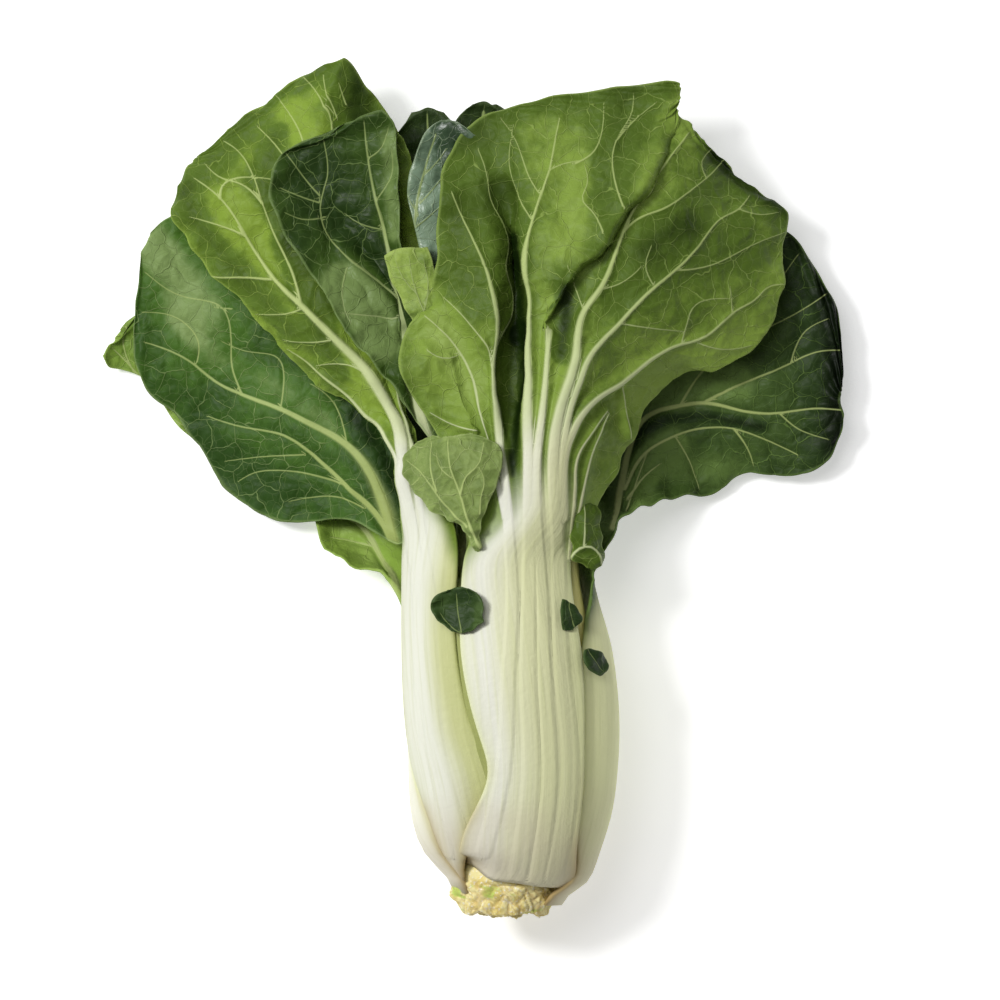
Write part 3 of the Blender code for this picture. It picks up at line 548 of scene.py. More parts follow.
def grow_leaf(name, node, skin, rows, grid, veins, blade, white, shape=None, tint_and_light_strokes=(),
              upper=False, seed=1, ruffle=(1.0, 16.0), pucker=0.9, net=9.0, ribs=0.5, swell=1.3,
              scallop=1.0, warm_and_shade=(-1.0, 0.2)):
    """One leaf: the table's smooth sheet, then folds, ruffles, puckers, veins and stalk ribs.

    Both faces move together along the sheet's normal with the waves; the under face alone
    rises over the veins, and the upper face dips along them.  `blade` gives the y where the
    blade starts and where it is full, `white` the y where the white starts to fade and where
    it is gone, and each of them how far ahead the margins are.  `shape` bends the sheet.
    The strokes lighten and darken the blade: partly the leaf's own tint, partly painted
    shade, shadow and sheen.  `ruffle` is the height and length of the waves along the margin,
    `pucker` how far the blade swells between veins, in cells `net` wide, `ribs`, `swell` and
    `scallop` the heights of the stalk's ribs, the slow waves and the margin's jags, and the
    warm-and-shade span across the stalk, from -1 to 1, over which it yellows and darkens:
    partly its own yellowing, partly painted shade on the side away from the light.
    `upper` says that the upper face is the one that shows.
    """
    base, v, rib_thick = leaf_sheet(rows, grid, blade[0])
    rib = grid[1] // 2
    side = lengths(base, 1)
    side = side - side[:, rib:rib + 1]
    reach = np.where(v < 0, -side[:, :1], side[:, -1:])
    margin = np.minimum(reach - np.abs(side), lengths(base[::-1], 0)[::-1])
    rib_y = base[:, rib:rib + 1, 1] + 0 * v
    blade_share = ease(blade[0], blade[1], rib_y + blade[2] * np.abs(v) ** 1.5)

    # scalloped margin: its points move in plan, away from the blade's middle
    blade_middle = (base * blade_share[..., None]).sum(axis=(0, 1)) / np.maximum(blade_share.sum(), TINY)
    outward = base[..., :2] - blade_middle[:2]
    outward /= np.maximum(np.linalg.norm(outward, axis=2, keepdims=True), TINY)
    jag = mottle(base[..., 0], base[..., 1], SCALLOP_SIZES[0], seed + 21)
    jag += 0.35 * mottle(base[..., 0], base[..., 1], SCALLOP_SIZES[1], seed + 22)
    base[..., :2] += outward * (scallop * jag * np.exp(-margin / SCALLOP_DEPTH) * blade_share)[..., None]
    if shape is not None:
        base = shape(base, v)
    s = lengths(base, 0)
    normal = np.cross(np.gradient(base, axis=1), np.gradient(base, axis=0))
    normal /= np.maximum(np.linalg.norm(normal, axis=2, keepdims=True), TINY)

    # the blade swells towards its upper face between the veins, and in cells between them
    ridge, middle, girth, flank, vein = vein_field(base, veins)
    near = np.maximum(flank, 0.0)
    x, y = base[..., 0] + STEEP_SHARE * base[..., 2], base[..., 1]
    warp_x = x + WARP_REACH * mottle(x, y, WARP_SIZE, seed + 1)
    warp_y = y + WARP_REACH * mottle(x, y, WARP_SIZE, seed + 2)
    away = np.minimum(near, cell_borders(warp_x, warp_y, net, seed) * 1.3)
    bulge = 0.8 * (1.0 - np.exp(-away / PUCKER_EDGE)) + 0.5 * (1.0 - np.exp(-near / SAG_EDGE))
    wave = -pucker * bulge * blade_share * ease(0.25, 0.9, blade_share)

    # where the stalk opens into veins, the tissue between them sinks in pleats
    young = (1.0 - ease(white[1], white[1] + PLEAT_LENGTH, rib_y)) * ease(white[0] - 12.0, white[1], rib_y)
    wave = wave - PLEAT * (1.0 - np.exp(-(near / PLEAT_EDGE) ** 2)) * young

    # slow waves in three sizes, and ruffles running along the free margin
    rolling = swell * mottle(x, y, ROLL_SIZES[0], seed + 14)
    rolling += 0.6 * pucker * mottle(x, y, ROLL_SIZES[1], seed + 4)
    rolling += 0.25 * pucker * mottle(x, y, ROLL_SIZES[2], seed + 5)
    wave = wave + rolling * blade_share
    height, length = ruffle
    free = (1.0 - ease(0.0, length * 1.1, margin)) * blade_share
    turn = 2 * np.pi * (s / length + 0.6 * mottle(s, v * 3, length * 2.2, seed + 6))
    wave = wave + height * free * np.sin(turn) * (0.6 + 0.4 * mottle(s, v * 3, 30.0, seed + 8))

    # long ribs of the stalk, its rounded section, and the two faces
    stripes = RIB_HEIGHTS[0] * mottle(side, s * 0.03, RIB_SIZES[0], seed + 9)
    stripes += RIB_HEIGHTS[1] * mottle(side, s * 0.02, RIB_SIZES[1], seed + 10)
    stripes *= ribs * (1.0 - blade_share) * ease(0.0, 3.0, margin)
    round_stalk = rib_thick - (rib_thick - np.minimum(STALK_EDGE, 0.55 * rib_thick)) * v**2
    depth = round_stalk + (BLADE_THICK - round_stalk) * blade_share
    edge_share = np.minimum(margin / (0.5 * depth), 1.0)
    trim = (1.0 - np.sqrt(np.clip(1.0 - (1.0 - edge_share) ** 2, MARGIN_ROUND, 1.0))) * depth / 2
    flesh = FLESHY_VEIN * ridge * blade_share
    if upper:
        top = flesh * 0.7 - trim
        bottom = 0.35 * np.minimum(ridge, 0.9) * blade_share - stripes - depth + trim
    else:
        top = ridge * (STALK_VEIN + (1.0 - STALK_VEIN) * blade_share) + stripes - trim
        bottom = 0.3 * flesh - depth + trim
    faces = []
    for offset in (top, bottom):
        face = base + normal * (wave + offset)[..., None]
        # nothing dips into the table: z becomes half of itself plus its softened size
        face[..., 2] = 0.5 * (face[..., 2] + np.sqrt(face[..., 2] ** 2 + TABLE_SOFTNESS))
        faces.append(face)
    outer, inner = faces
    fine, rough = (inner, outer[::2, ::2]) if upper else (outer, inner[::2, ::2])
    points, faces = leaf_faces(fine, rough, upper)

    # what the material needs to know at each point
    split = rib_y + white[2] * np.abs(v) ** 1.6 + 3.0 * mottle(side, s * 0.12, 3.4, seed + 11)
    grid_marks = {
        "white": 1.0 - ease(white[0], white[1], split - 20.0 * vein),
        # the side of the stalk that turns yellower and darker: partly its own yellowing, partly painted shade
        "warm_and_shade": ease(warm_and_shade[0], warm_and_shade[1], v + 0.35 * mottle(side, s * 0.1, 8.0, seed + 13)),
        "middle": np.clip(middle, -4.0, 4.0),
        "girth": girth,
        "flank": np.clip(flank, -2.0, 4.0),
        "blade": blade_share,
        # lighter and darker strokes: partly the leaf's own tint, partly painted shade, shadow and sheen
        "tint_and_light": stroke_sum(base, tint_and_light_strokes),
        "rim": 1.0 - ease(0.35, 1.1, margin),
        "age": 1.0 - ease(white[0], white[1] + AGE_LENGTH, rib_y),
        "foot": 1.0 - ease(*FOOT, rib_y + 8 * mottle(side, s, 9.0, seed + 12)),
        # the stalk's margins, where stalks meet: painted shade there, and brown where they reach the foot
        "crease": np.exp(-margin / 2.5) * (1.0 - blade_share),
        "across": side / 100.0,
        "along": s / 100.0,
    }
    marks = {mark: np.concatenate([g.ravel(), g[::2, ::2].ravel()]) for mark, g in grid_marks.items()}
    marks["flank"][v.size:] *= 0.4
    return put_mesh(name, points, faces, marks, skin, node)


PATCH_SCALE = 60.0
GRAIN_SCALE = 480.0
STREAK_SCALE = 55.0
STREAK_STRETCH = 0.035
WAVER_SCALE = 130.0
WAVER_REACH = (0.006, 0.006, 0.0)
# the two nets of finest veins: cells a metre, line width as a share of a cell, strength
NETS = ((110.0, 0.026, 0.55), (290.0, 0.05, 0.16))
# deep green that the darker strokes multiply into: painted shade and shadow, partly the leaf's own darker
# tint
SHADE_AND_TINT_GREEN = (0.06, 0.10, 0.04)
FOOT_BROWN = (0.60, 0.53, 0.40)
SCAR_BROWN = (0.42, 0.30, 0.12)
TISSUE_COLOURS = ("Blade dark", "Blade light", "Web", "Vein", "Vein foot", "Stalk", "Stalk yellow and shade",
                  "Stalk shade")


def skin_group():
    """Node group for leaf tissue: green blade, web of fine veins, pale veins, white stalk.

    Colours are mixed in that order by the marks on the mesh; streaks follow the stalk.
    """
    group = bpy.data.node_groups.new("leaf_tissue", "ShaderNodeTree")
    face = group.interface
    for title in TISSUE_COLOURS:
        face.new_socket(title, in_out="INPUT", socket_type="NodeSocketColor")
    face.new_socket("Gloss", in_out="INPUT", socket_type="NodeSocketFloat")
    face.new_socket("Colour", in_out="OUTPUT", socket_type="NodeSocketColor")
    face.new_socket("Roughness", in_out="OUTPUT", socket_type="NodeSocketFloat")
    face.new_socket("Height", in_out="OUTPUT", socket_type="NodeSocketFloat")
    given = group.nodes.new("NodeGroupInput").outputs
    result = group.nodes.new("NodeGroupOutput").inputs

    # the same steps as above, for this tree
    def mark(title):
        return mark_value(group, title)

    def stepped(*values):
        return ramp(group, *values)

    def mixed(*values):
        return mix_colour(group, *values)

    def times(a, b):
        return math_node(group, "MULTIPLY", a, b)

    def times_plus(a, b, c):
        return math_node(group, "MULTIPLY_ADD", a, b, c)

    place = group.nodes.new("ShaderNodeTexCoord").outputs["Object"]
    patch = add_node(group, "ShaderNodeTexNoise", Vector=place, Scale=PATCH_SCALE, Detail=6.0,
                     Roughness=0.7)
    grain = add_node(group, "ShaderNodeTexNoise", Vector=place, Scale=GRAIN_SCALE, Detail=4.0)
    strands = add_node(group, "ShaderNodeCombineXYZ", X=mark("across"),
                       Y=times(mark("along"), STREAK_STRETCH))
    streak = add_node(group, "ShaderNodeTexNoise", Vector=strands.outputs[0], Scale=STREAK_SCALE,
                      Detail=4.0)
    # random mottling of the blade's two greens, plus the strokes on the mesh, which are partly own tint and
    # partly painted shade and sheen
    tint_and_light = math_node(group, "ADD", stepped(patch.outputs[0], 0.10, 0.90), mark("tint_and_light"))
    blade = mixed(stepped(tint_and_light, 0.1, 0.9), given["Blade dark"], given["Blade light"])

    # net of the finest veins: borders of cells in two sizes, wavering
    waver = add_node(group, "ShaderNodeTexNoise", Vector=place, Scale=WAVER_SCALE, Detail=2.0)
    shift = add_node(group, "ShaderNodeVectorMath", waver.outputs["Color"], WAVER_REACH, place)
    shift.operation = "MULTIPLY_ADD"
    borders = []
    threads = 0.0
    for scale, line, strength in NETS:
        cells = add_node(group, "ShaderNodeTexVoronoi", Vector=shift.outputs[0], Scale=scale)
        cells.voronoi_dimensions = "2D"
        cells.feature = "DISTANCE_TO_EDGE"
        borders.append(cells.outputs["Distance"])
        thread = times(stepped(borders[-1], line * 0.3, line, 1.0, 0.0), strength)
        threads = math_node(group, "MAXIMUM", thread, threads)
    blade = mixed(times(threads, mark("blade")), blade, given["Web"])
    # strong light strokes turn to the web's pale green as painted sheen and light; dark strokes are
    # multiplied by a deep green as painted shade and shadow
    blade = mixed(times(stepped(tint_and_light, 0.9, 1.9), 0.8), blade, given["Web"])
    blade = mixed(stepped(tint_and_light, 0.2, -2.2), blade, SHADE_AND_TINT_GREEN, "MULTIPLY")

    # main and side veins, from the distance to the nearest one, with a pale halo
    girth = mark("girth")
    flank = mark("flank")
    beyond = math_node(group, "SUBTRACT", math_node(group, "ABSOLUTE", mark("middle")), girth)
    beyond = math_node(group, "DIVIDE", beyond, times_plus(girth, 0.3, 0.13))
    vein_share = times(stepped(beyond, -1.0, 1.0, 1.0, 0.0), stepped(flank, 0.45, 0.85, 1.0, 0.0))
    vein_share = times(vein_share, stepped(girth, 0.15, 0.7, 0.75, 1.0))
    halo = times(stepped(beyond, 0.0, 3.0, 0.4, 0.0), stepped(flank, 0.6, 2.4, 1.0, 0.0))
    blade = mixed(times(halo, stepped(girth, 0.8, 1.8)), blade, given["Vein"])
    blade = mixed(vein_share, blade, mixed(mark("age"), given["Vein"], given["Vein foot"]))
    blade = mixed(times(mark("rim"), 0.55), blade, given["Web"])

    # stalk: white, yellower and darker to one side (partly its own yellowing, partly painted
    # shade), streaked, with painted shade at its edges where stalks meet, and brown at its foot
    stalk = mixed(mark("warm_and_shade"), given["Stalk"], given["Stalk yellow and shade"])
    stalk = mixed(times(stepped(streak.outputs[0], 0.45, 0.75), 0.3), stalk, given["Stalk shade"])
    stalk = mixed(times(mark("crease"), 0.7), stalk, given["Stalk shade"])
    stalk = mixed(times(mark("foot"), 0.72), stalk, FOOT_BROWN)
    stalk = mixed(times(mark("foot"), mark("crease")), stalk, SCAR_BROWN)
    group.links.new(mixed(mark("white"), blade, stalk), result["Colour"])
    group.links.new(times_plus(patch.outputs[0], 0.2, given["Gloss"]), result["Roughness"])

    # relief: cells puff up between threads, threads and veins stand out, streaks and grain
    puff = times(stepped(borders[0], 0.0, 0.5), 0.5)
    puff = times_plus(stepped(borders[1], 0.0, 0.5), 0.12, puff)
    puff = times_plus(threads, 0.5, puff)
    puff = times(times(puff, mark("blade")), stepped(vein_share, 0.0, 0.8, 1.0, 0.0))
    puff = times_plus(vein_share, 0.4, puff)
    raised = times(times(streak.outputs[0], mark("white")), 0.3)
    raised = math_node(group, "ADD", times_plus(grain.outputs[0], 0.24, raised), puff)
    group.links.new(raised, result["Height"])
    return group


leaf_tissue = skin_group()


def leaf_skin(name, dark, light, web, gloss, vein=(0.30, 0.38, 0.13), foot=(0.66, 0.70, 0.44),
              stalk=(0.87, 0.87, 0.74), warm_and_shade=(0.84, 0.86, 0.48), shade=(0.66, 0.70, 0.33), shine=0.22):
    """Leaf material: the tissue group with this leaf's own greens and gloss."""
    skin = bpy.data.materials.new(name)
    skin.use_nodes = True
    tree = skin.node_tree
    shader = tree.nodes["Principled BSDF"]
    tissue = tree.nodes.new("ShaderNodeGroup")
    tissue.node_tree = leaf_tissue
    for title, colour in zip(TISSUE_COLOURS, (dark, light, web, vein, foot, stalk, warm_and_shade, shade)):
        tissue.inputs[title].default_value = (*colour, 1.0)
    tissue.inputs["Gloss"].default_value = gloss
    shader.inputs["Specular IOR Level"].default_value = shine
    tree.links.new(tissue.outputs["Colour"], shader.inputs["Base Color"])
    tree.links.new(tissue.outputs["Roughness"], shader.inputs["Roughness"])
    bump = add_node(tree, "ShaderNodeBump", Strength=0.8, Distance=0.0010, Height=tissue.outputs["Height"])
    tree.links.new(bump.outputs[0], shader.inputs["Normal"])
    return skin


back_skin = leaf_skin("back_skin", (0.012, 0.026, 0.006), (0.034, 0.06, 0.014), (0.07, 0.11, 0.03), 0.42,
                      shine=0.2)
BACK_LEAF = (
    (-143, 118, 166, 214, 1.16, 0, 0, 3),
    (-139, 118, 166, 214, 1, 0, 0, 5),
    (-131, 122, 168, 214, 1, 0, 0, 7.8),
    (-116, 124, 168, 213, 1, 0, 0, 8.6),
    (-101, 124, 168, 213, 1, 0, 0, 8.6),
    (-88, 124, 168, 213, 1, 0, 0, 8.6),
    (-74, 124, 168, 212, 1, 0, 0, 8.4),
    (-57, 126, 169, 211, 1, 0, 0, 8),
    (-40, 128, 170, 210, 1, 0, 0, 7.4),
    (-25.5, 137, 172, 206, 1, 0, 0, 6.4),
    (24, -4, 3, 8, -4, 0.8, -7, -4, 2.6, -0.6, -0.4, 5.2),
    (36, 24, 2.2, 6, 25, 0.5, -15, 25, 3, -0.4, -0.3, 4.2),
    (44, 50, 2.6, 5, 50, 0.4, -20, 50, 3.6, -0.3, -0.3, 3.2),
    (44, 76, 3.2, 4, 75, 0.5, -22, 75, 3.6, -0.3, -0.3, 2.5),
    (36, 100, 3.8, 3, 99, 1, -18, 101, 3.8, 0, 0, 2),
    (24, 118, 4.6, 2, 118, 2.4, -12, 118.5, 4.4, 0, 0, 1.6),
    (14, 130, 6, 3, 131, 5, -6, 130, 5.8, 0, 0, 1.3),
    (8.5, 135, 7, 3.5, 136.2, 6.8, -1, 135, 7, 0, 0, 1.1),
)
BACK_VEINS = (
    (9, 2, ((8, -25), (8, 0), (6, 25), (5, 50), (4, 75), (3, 99), (2, 118), (3, 132))),
    (3, 0.8, ((6, 25), (20, 50), (32, 72))),
    (3, 0.8, ((6, 25), (-6, 50), (-16, 72))),
    (2.4, 0.8, ((5, 50), (16, 76), (28, 96))),
    (2.4, 0.8, ((5, 50), (-6, 80), (-13, 96))),
)
grow_leaf("back_blade", "back_leaf", back_skin, BACK_LEAF, (170, 80), BACK_VEINS,
          blade=(-30.0, 20.0, 10.0), white=(-30.0, 5.0, 25.0), seed=20)


# --- Far left leaf and right leaf --------------------------------------------------------
# Two outer leaves on either side of the back leaf.  Both blades flopped outwards on the
# table: one almost hidden at the left, one dark and glossy at the right, upper face up.
green_skin = leaf_skin("green_skin", (0.12, 0.21, 0.028), (0.25, 0.39, 0.055), (0.34, 0.47, 0.11), 0.42,
                       vein=(0.42, 0.50, 0.18), foot=(0.44, 0.52, 0.18))
dark_skin = leaf_skin("dark_skin", (0.023, 0.048, 0.009), (0.054, 0.098, 0.019), (0.15, 0.24, 0.055), 0.42,
                      vein=(0.38, 0.46, 0.15), foot=(0.66, 0.70, 0.34), shine=0.18)
FAR_LEFT_LEAF = (
    (-143, -140, -96, -51, 1.16, 1, 0, 3),
    (-139, -140, -96, -52, 1, 1, 0, 4.5),
    (-131, -145, -100, -54.5, 1, 4.2, 0, 7.8),
    (-116, -146, -106, -59, 1, 4.2, 0, 8.6),
    (-101, -147, -112, -72, 0.97, 4.2, 0, 8.6),
    (-88, -147, -114, -81, 0.955, 4.2, 0, 8.6),
    (-74, -148, -115, -84, 0.955, 4.2, 0, 8.4),
    (-57, -149, -117, -86, 0.955, 4.2, 0, 8),
    (-42, -150, -120, -88, 0.98, 4.2, 0, 7.2),
    (-11, -27, 5.4, -22, -28, 9, -34.5, -32.5, 24, -1, -5, 5.2),
    (-15, -12, 3, -32, -17, 4, -46.5, -29, 19, -0.4, -7, 4.2),
    (-20, 4, 1.8, -41, -5, 2.2, -55.5, -19, 11, -0.2, -4.5, 3.4),
    (-28, 22, 1.4, -50, 9, 1.6, -60, -3, 2.2, 0, -0.5, 2.8),
    (-42, 40, 1.2, -68, 24, 1.2, -80, 3, 0.5, 0, 0.3, 2.6),
    (-58, 54, 1.2, -84, 34, 1.2, -96, 13, 0.2, 0, 0.3, 2.2),
    (-75, 62, 1.5, -98, 41, 1.4, -109, 26, 1, 0, 0, 1.9),
    (-93, 68, 2.5, -110, 47, 2.4, -117.5, 38, 2, 0, 0, 1.6),
    (-109, 67, 3.2, -119, 51, 4.2, -126.5, 41, 4.2, 0, 0, 1.4),
    (-120, 60, 4.2, -126, 50.5, 6, -130.6, 43, 6.5, 0, 0, 1.2),
    (-125, 55, 6.6, -129, 50, 7.8, -131.8, 46, 8, 0, 0, 1.1),
)
FAR_LEFT_VEINS = (
    (3.5, 1, ((-26, -53.5), (-27.5, -43), (-32, -30), (-35.5, -21), (-42.5, -12.5), (-49.5, -9),
        (-61, -1), (-75, 9.5), (-91, 20), (-110, 30.5), (-124, 44.5), (-127.5, 48))),
    (2, 0.7, ((-35, -22), (-42, -20.5), (-51, -18.5))),
    (1.6, 0.7, ((-110, 30.5), (-115.5, 41), (-117, 55))),
    (1.4, 0.6, ((-91, 20), (-100, 20), (-107, 23.5))),
    (1.4, 0.6, ((-120.5, 40), (-124, 49.5), (-122.5, 58.5))),
)
# a lighter stroke on the low lobe: partly the leaf's own tint, partly painted light
FAR_LEFT_TINT_AND_LIGHT = (
    (1.1, 9, ((-47, -16), (-38, -26))),
)
grow_leaf("far_left_blade", "far_left_leaf", green_skin, FAR_LEFT_LEAF, (220, 90),
          FAR_LEFT_VEINS, blade=(-40.0, -5.0, 10.0), white=(-72.0, -46.0, 16.0), tint_and_light_strokes=FAR_LEFT_TINT_AND_LIGHT,
          upper=True, seed=30, warm_and_shade=(0.6, 1.6))

RIGHT_LEAF = (
    (-147.2, 44, 86, 128, 1.32, 0.5, 0.5, 2.5),
    (-144, 48, 86, 124, 1.3, 0.5, 0.5, 3),
    (-140, 52, 86, 121, 1.13, 0.5, 0.5, 4.5),
    (-131, 52, 83, 118, 1, 1.5, 2.8, 7.8),
    (-116, 41, 79, 118, 1, 4.2, 2.8, 8.8),
    (-101, 41, 79, 118, 1, 4.2, 2.8, 8.8),
    (-88, 41, 79, 118, 1, 4.2, 2.8, 8.6),
    (-74, 43, 80, 118, 1, 4.2, 2.8, 8.4),
    (-57, 52, 84, 119, 1, 2.5, 2.8, 8),
    (-42, 64, 92, 120, 1, 0, 2.8, 7.4),
    (46, -25.5, 41, 41.5, -24, 26, 30, -21, 14, -1, -1, 6.2),
    (52, -12, 35, 48, -9, 21, 34, -4, 12.5, -3, -1, 5.6),
    (63.5, -6.5, 24, 54.5, 1, 18, 43, 10, 12, -1.5, 0, 5),
    (75, -4, 12, 60, 12.3, 16, 49, 24, 13.5, -1, 0, 4.2),
    (84.5, -3, 6, 68, 22, 14.5, 57.8, 41, 14, 0, 0, 3.6),
    (93, 4, 6, 79.5, 28.7, 14, 72, 64, 14, 1, 0.5, 3),
    (105, 4, 7, 92.8, 30.3, 13, 91, 84, 14, 1, 1, 2.5),
    (116, 4.6, 8, 105, 28.7, 12.5, 109.6, 89, 14, 1, 1, 2),
    (124.4, 9.5, 9.5, 114.8, 27.7, 12.5, 119.6, 76.7, 13.5, 1, 1, 1.7),
    (128.8, 17, 11.5, 122.5, 27.3, 13, 127.8, 59, 13.5, 0.5, 0.5, 1.4),
    (130.4, 23.5, 13, 129, 29, 13.2, 129.8, 38, 13.4, 0, 0, 1.1),
)
RIGHT_VEINS = (
    (1.6, 0.8, ((52.9, -8.8), (57, 2), (60.2, 10.9))),
    (3.4, 1.2, ((48, -14.5), (51, -1), (55, 14.5), (60, 23.5), (72, 28), (81, 29), (93, 26.5),
        (107, 25.5), (119, 27), (128.5, 26.5))),
    (2.2, 0.9, ((81, 29.5), (93, 35.5), (111, 43), (120.5, 47), (128, 47.5))),
    (1.8, 0.8, ((72, 28), (79, 39), (89, 48), (103, 55.5), (115.5, 62), (123, 67))),
    (1.6, 0.7, ((93, 49.5), (103, 65.5), (108.5, 74), (113.5, 81))),
    (2.4, 0.9, ((52.5, -1), (59.5, 11), (70, 17.5), (79, 20), (91, 20), (101.5, 16.5), (113.5, 11))),
    (1.8, 0.7, ((91, 20), (96, 13), (98, 7.5))),
    (1.4, 0.6, ((107, 25.5), (113.5, 20), (124, 16.5))),
    (1.4, 0.6, ((111, 43), (117, 55), (124, 58.5))),
    (1.3, 0.6, ((70, 17.5), (75, 9.5), (79, -1))),
    (2, 0.8, ((53.5, -4.5), (59.5, 3), (65, 7.5))),
)
# darker strokes: painted shade along the outer margin and painted shadow under the front leaf's edge, between
# the main veins; lighter strokes: painted light lifting that shadow near the base and on the lower lobe
RIGHT_TINT_AND_LIGHT = (
    (-2.4, 8, ((116, 92), (124, 76), (127, 60), (128, 38), (127, 16))),
    (1.2, 10, ((70, 32), (90, 36))),
    (-1.7, 1.7, ((54, 13), (59, 19), (67.5, 23.4), (82, 24.6), (101, 20.6))),
    (0.8, 5, ((60, 30), (76, 36), (92, 38))),
    (2.2, 4.5, ((58, 3), (64, 11), (70, 15))),
    (-0.3, 8, ((112, 80), (117, 66), (118, 44))),
    (1.6, 7, ((41, -8), (42, -26))),
    (1.6, 5.5, ((56, -2), (60, -10))),
    (1, 8, ((64, 8), (76, 6), (90, 6))),
)
grow_leaf("right_blade", "right_leaf", dark_skin, RIGHT_LEAF, (310, 150), RIGHT_VEINS,
          blade=(-50.0, -20.0, 10.0), white=(-47.0, -26.0, 16.0), tint_and_light_strokes=RIGHT_TINT_AND_LIGHT,
          upper=True, seed=40, swell=1.8, scallop=0.7, warm_and_shade=(-2.0, -1.2))


# --- Inner leaves ------------------------------------------------------------------------
# Leaves of the next ring in.  Their stalks are shut inside the outer ones and their dark
# cupped blades fill the spaces between the outer blades.
deep_skin = leaf_skin("deep_skin", (0.025, 0.068, 0.007), (0.062, 0.145, 0.016), (0.25, 0.35, 0.12), 0.45,
                      vein=(0.38, 0.47, 0.16), foot=(0.32, 0.38, 0.10), stalk=(0.62, 0.64, 0.28),
                      warm_and_shade=(0.60, 0.60, 0.22), shine=0.2)
LEFT_BACK_LEAF = (
    (-132.5, -110, -85, -60, 0.6, 0, 0, 3.2),
    (-116, -112, -85, -58, 0.68, 0, 0, 5.2),
    (-100, -114, -86, -58, 0.71, 0, 0, 6),
    (-80, -115, -87, -58, 0.72, 0, 0, 6),
    (-58, -116, -88, -60, 0.73, 0, 0, 5.8),
    (-42, -117, -88, -60, 0.76, 0.5, 1, 5.6),
    (-21, -23, 18, -22.5, -24, 26, -18, -26, 35.5, -1, 1, 5.4),
    (-24, -6, 17.5, -29.5, -11, 23.5, -31, -19, 27, -0.5, -1, 5),
    (-27, 11, 18, -35, 3, 22.5, -43, -12.5, 17.5, -0.5, 0.5, 4.2),
    (-32, 30, 17.5, -43, 18, 21, -60.5, -13, 10, -0.5, 0.5, 3.6),
    (-43, 49, 17, -55, 33, 18.5, -79.8, -8.5, 5.5, 0, 1, 3.2),
    (-57, 68, 14.5, -69, 47, 16, -92.5, 6, 3.2, 0, 1, 2.7),
    (-73, 84, 11, -83, 59, 13.5, -104, 23, 4, 0, 1, 2.2),
    (-89.5, 94.5, 8, -96, 68.3, 11.5, -116.5, 35, 5, 0, 0.5, 1.8),
    (-101.5, 97, 7, -107, 74.6, 10.5, -120.3, 51.5, 7.4, 0, 0.5, 1.5),
    (-110.5, 93, 8, -114, 80.5, 10.8, -119.3, 68.3, 9.2, 0, 0, 1.3),
    (-114.8, 89, 9, -116.4, 84, 10.6, -117.8, 79, 10.2, 0, 0, 1.1),
)
LEFT_BACK_VEINS = (
    (4.8, 1, ((-24.5, -46.5), (-27.5, -25.5), (-32, -8), (-38, 6), (-45, 14), (-56.5, 21), (-68, 27),
        (-82, 32), (-93, 37.5), (-100, 43.5), (-116, 50.5))),
    (3.8, 0.8, ((-26, -32.5), (-31, -16), (-34.5, -10.5), (-45, 0), (-56.5, 10.5), (-66, 17.5),
        (-80, 20.5), (-94, 24.5))),
    (1.8, 0.7, ((-45, 0), (-55.5, 3.5), (-63.5, 5), (-80, 3.5), (-83.5, 1.5))),
    (1.4, 0.6, ((-60, 11), (-70.5, 10.5), (-88, 8.5))),
    (1.5, 0.6, ((-39, -8), (-46, -4.5), (-56.5, -4), (-65, -5.5))),
    (1.6, 0.7, ((-82, 32), (-86, 42.5), (-86, 53), (-88.5, 62), (-103, 66.5), (-116, 75))),
    (1.4, 0.6, ((-98, 43.5), (-97.5, 50.5), (-101, 56), (-108, 60), (-117, 61))),
    (1.4, 0.6, ((-68, 27), (-70.5, 45.5), (-80, 47), (-89, 50.5))),
    (1.4, 0.6, ((-45, 14), (-51, 30.5), (-57.5, 35.5))),
    (1.4, 0.6, ((-86, 62), (-91.5, 62.5))),
)
# a darker stroke: painted shadow in the wedge beside the left leaf; lighter strokes: painted sheen on the
# upper left and along the blade; a weak darker stroke: painted shade low on the blade
LEFT_BACK_TINT_AND_LIGHT = (
    (-1.8, 4, ((-43, 24), (-34, 12), (-27, -6))),
    (1.4, 10, ((-112, 84), (-104, 72), (-98, 62))),
    (0.8, 5, ((-105, 58), (-90, 44), (-66, 33), (-50, 20))),
    (-0.6, 7, ((-66, -2), (-84, 4), (-98, 18))),
)
grow_leaf("left_back_blade", "left_back_leaf", deep_skin, LEFT_BACK_LEAF, (290, 140),
          LEFT_BACK_VEINS, blade=(-45.0, -15.0, 10.0), white=(-58.0, -30.0, 16.0), tint_and_light_strokes=LEFT_BACK_TINT_AND_LIGHT,
          upper=True, seed=50, swell=1.8)

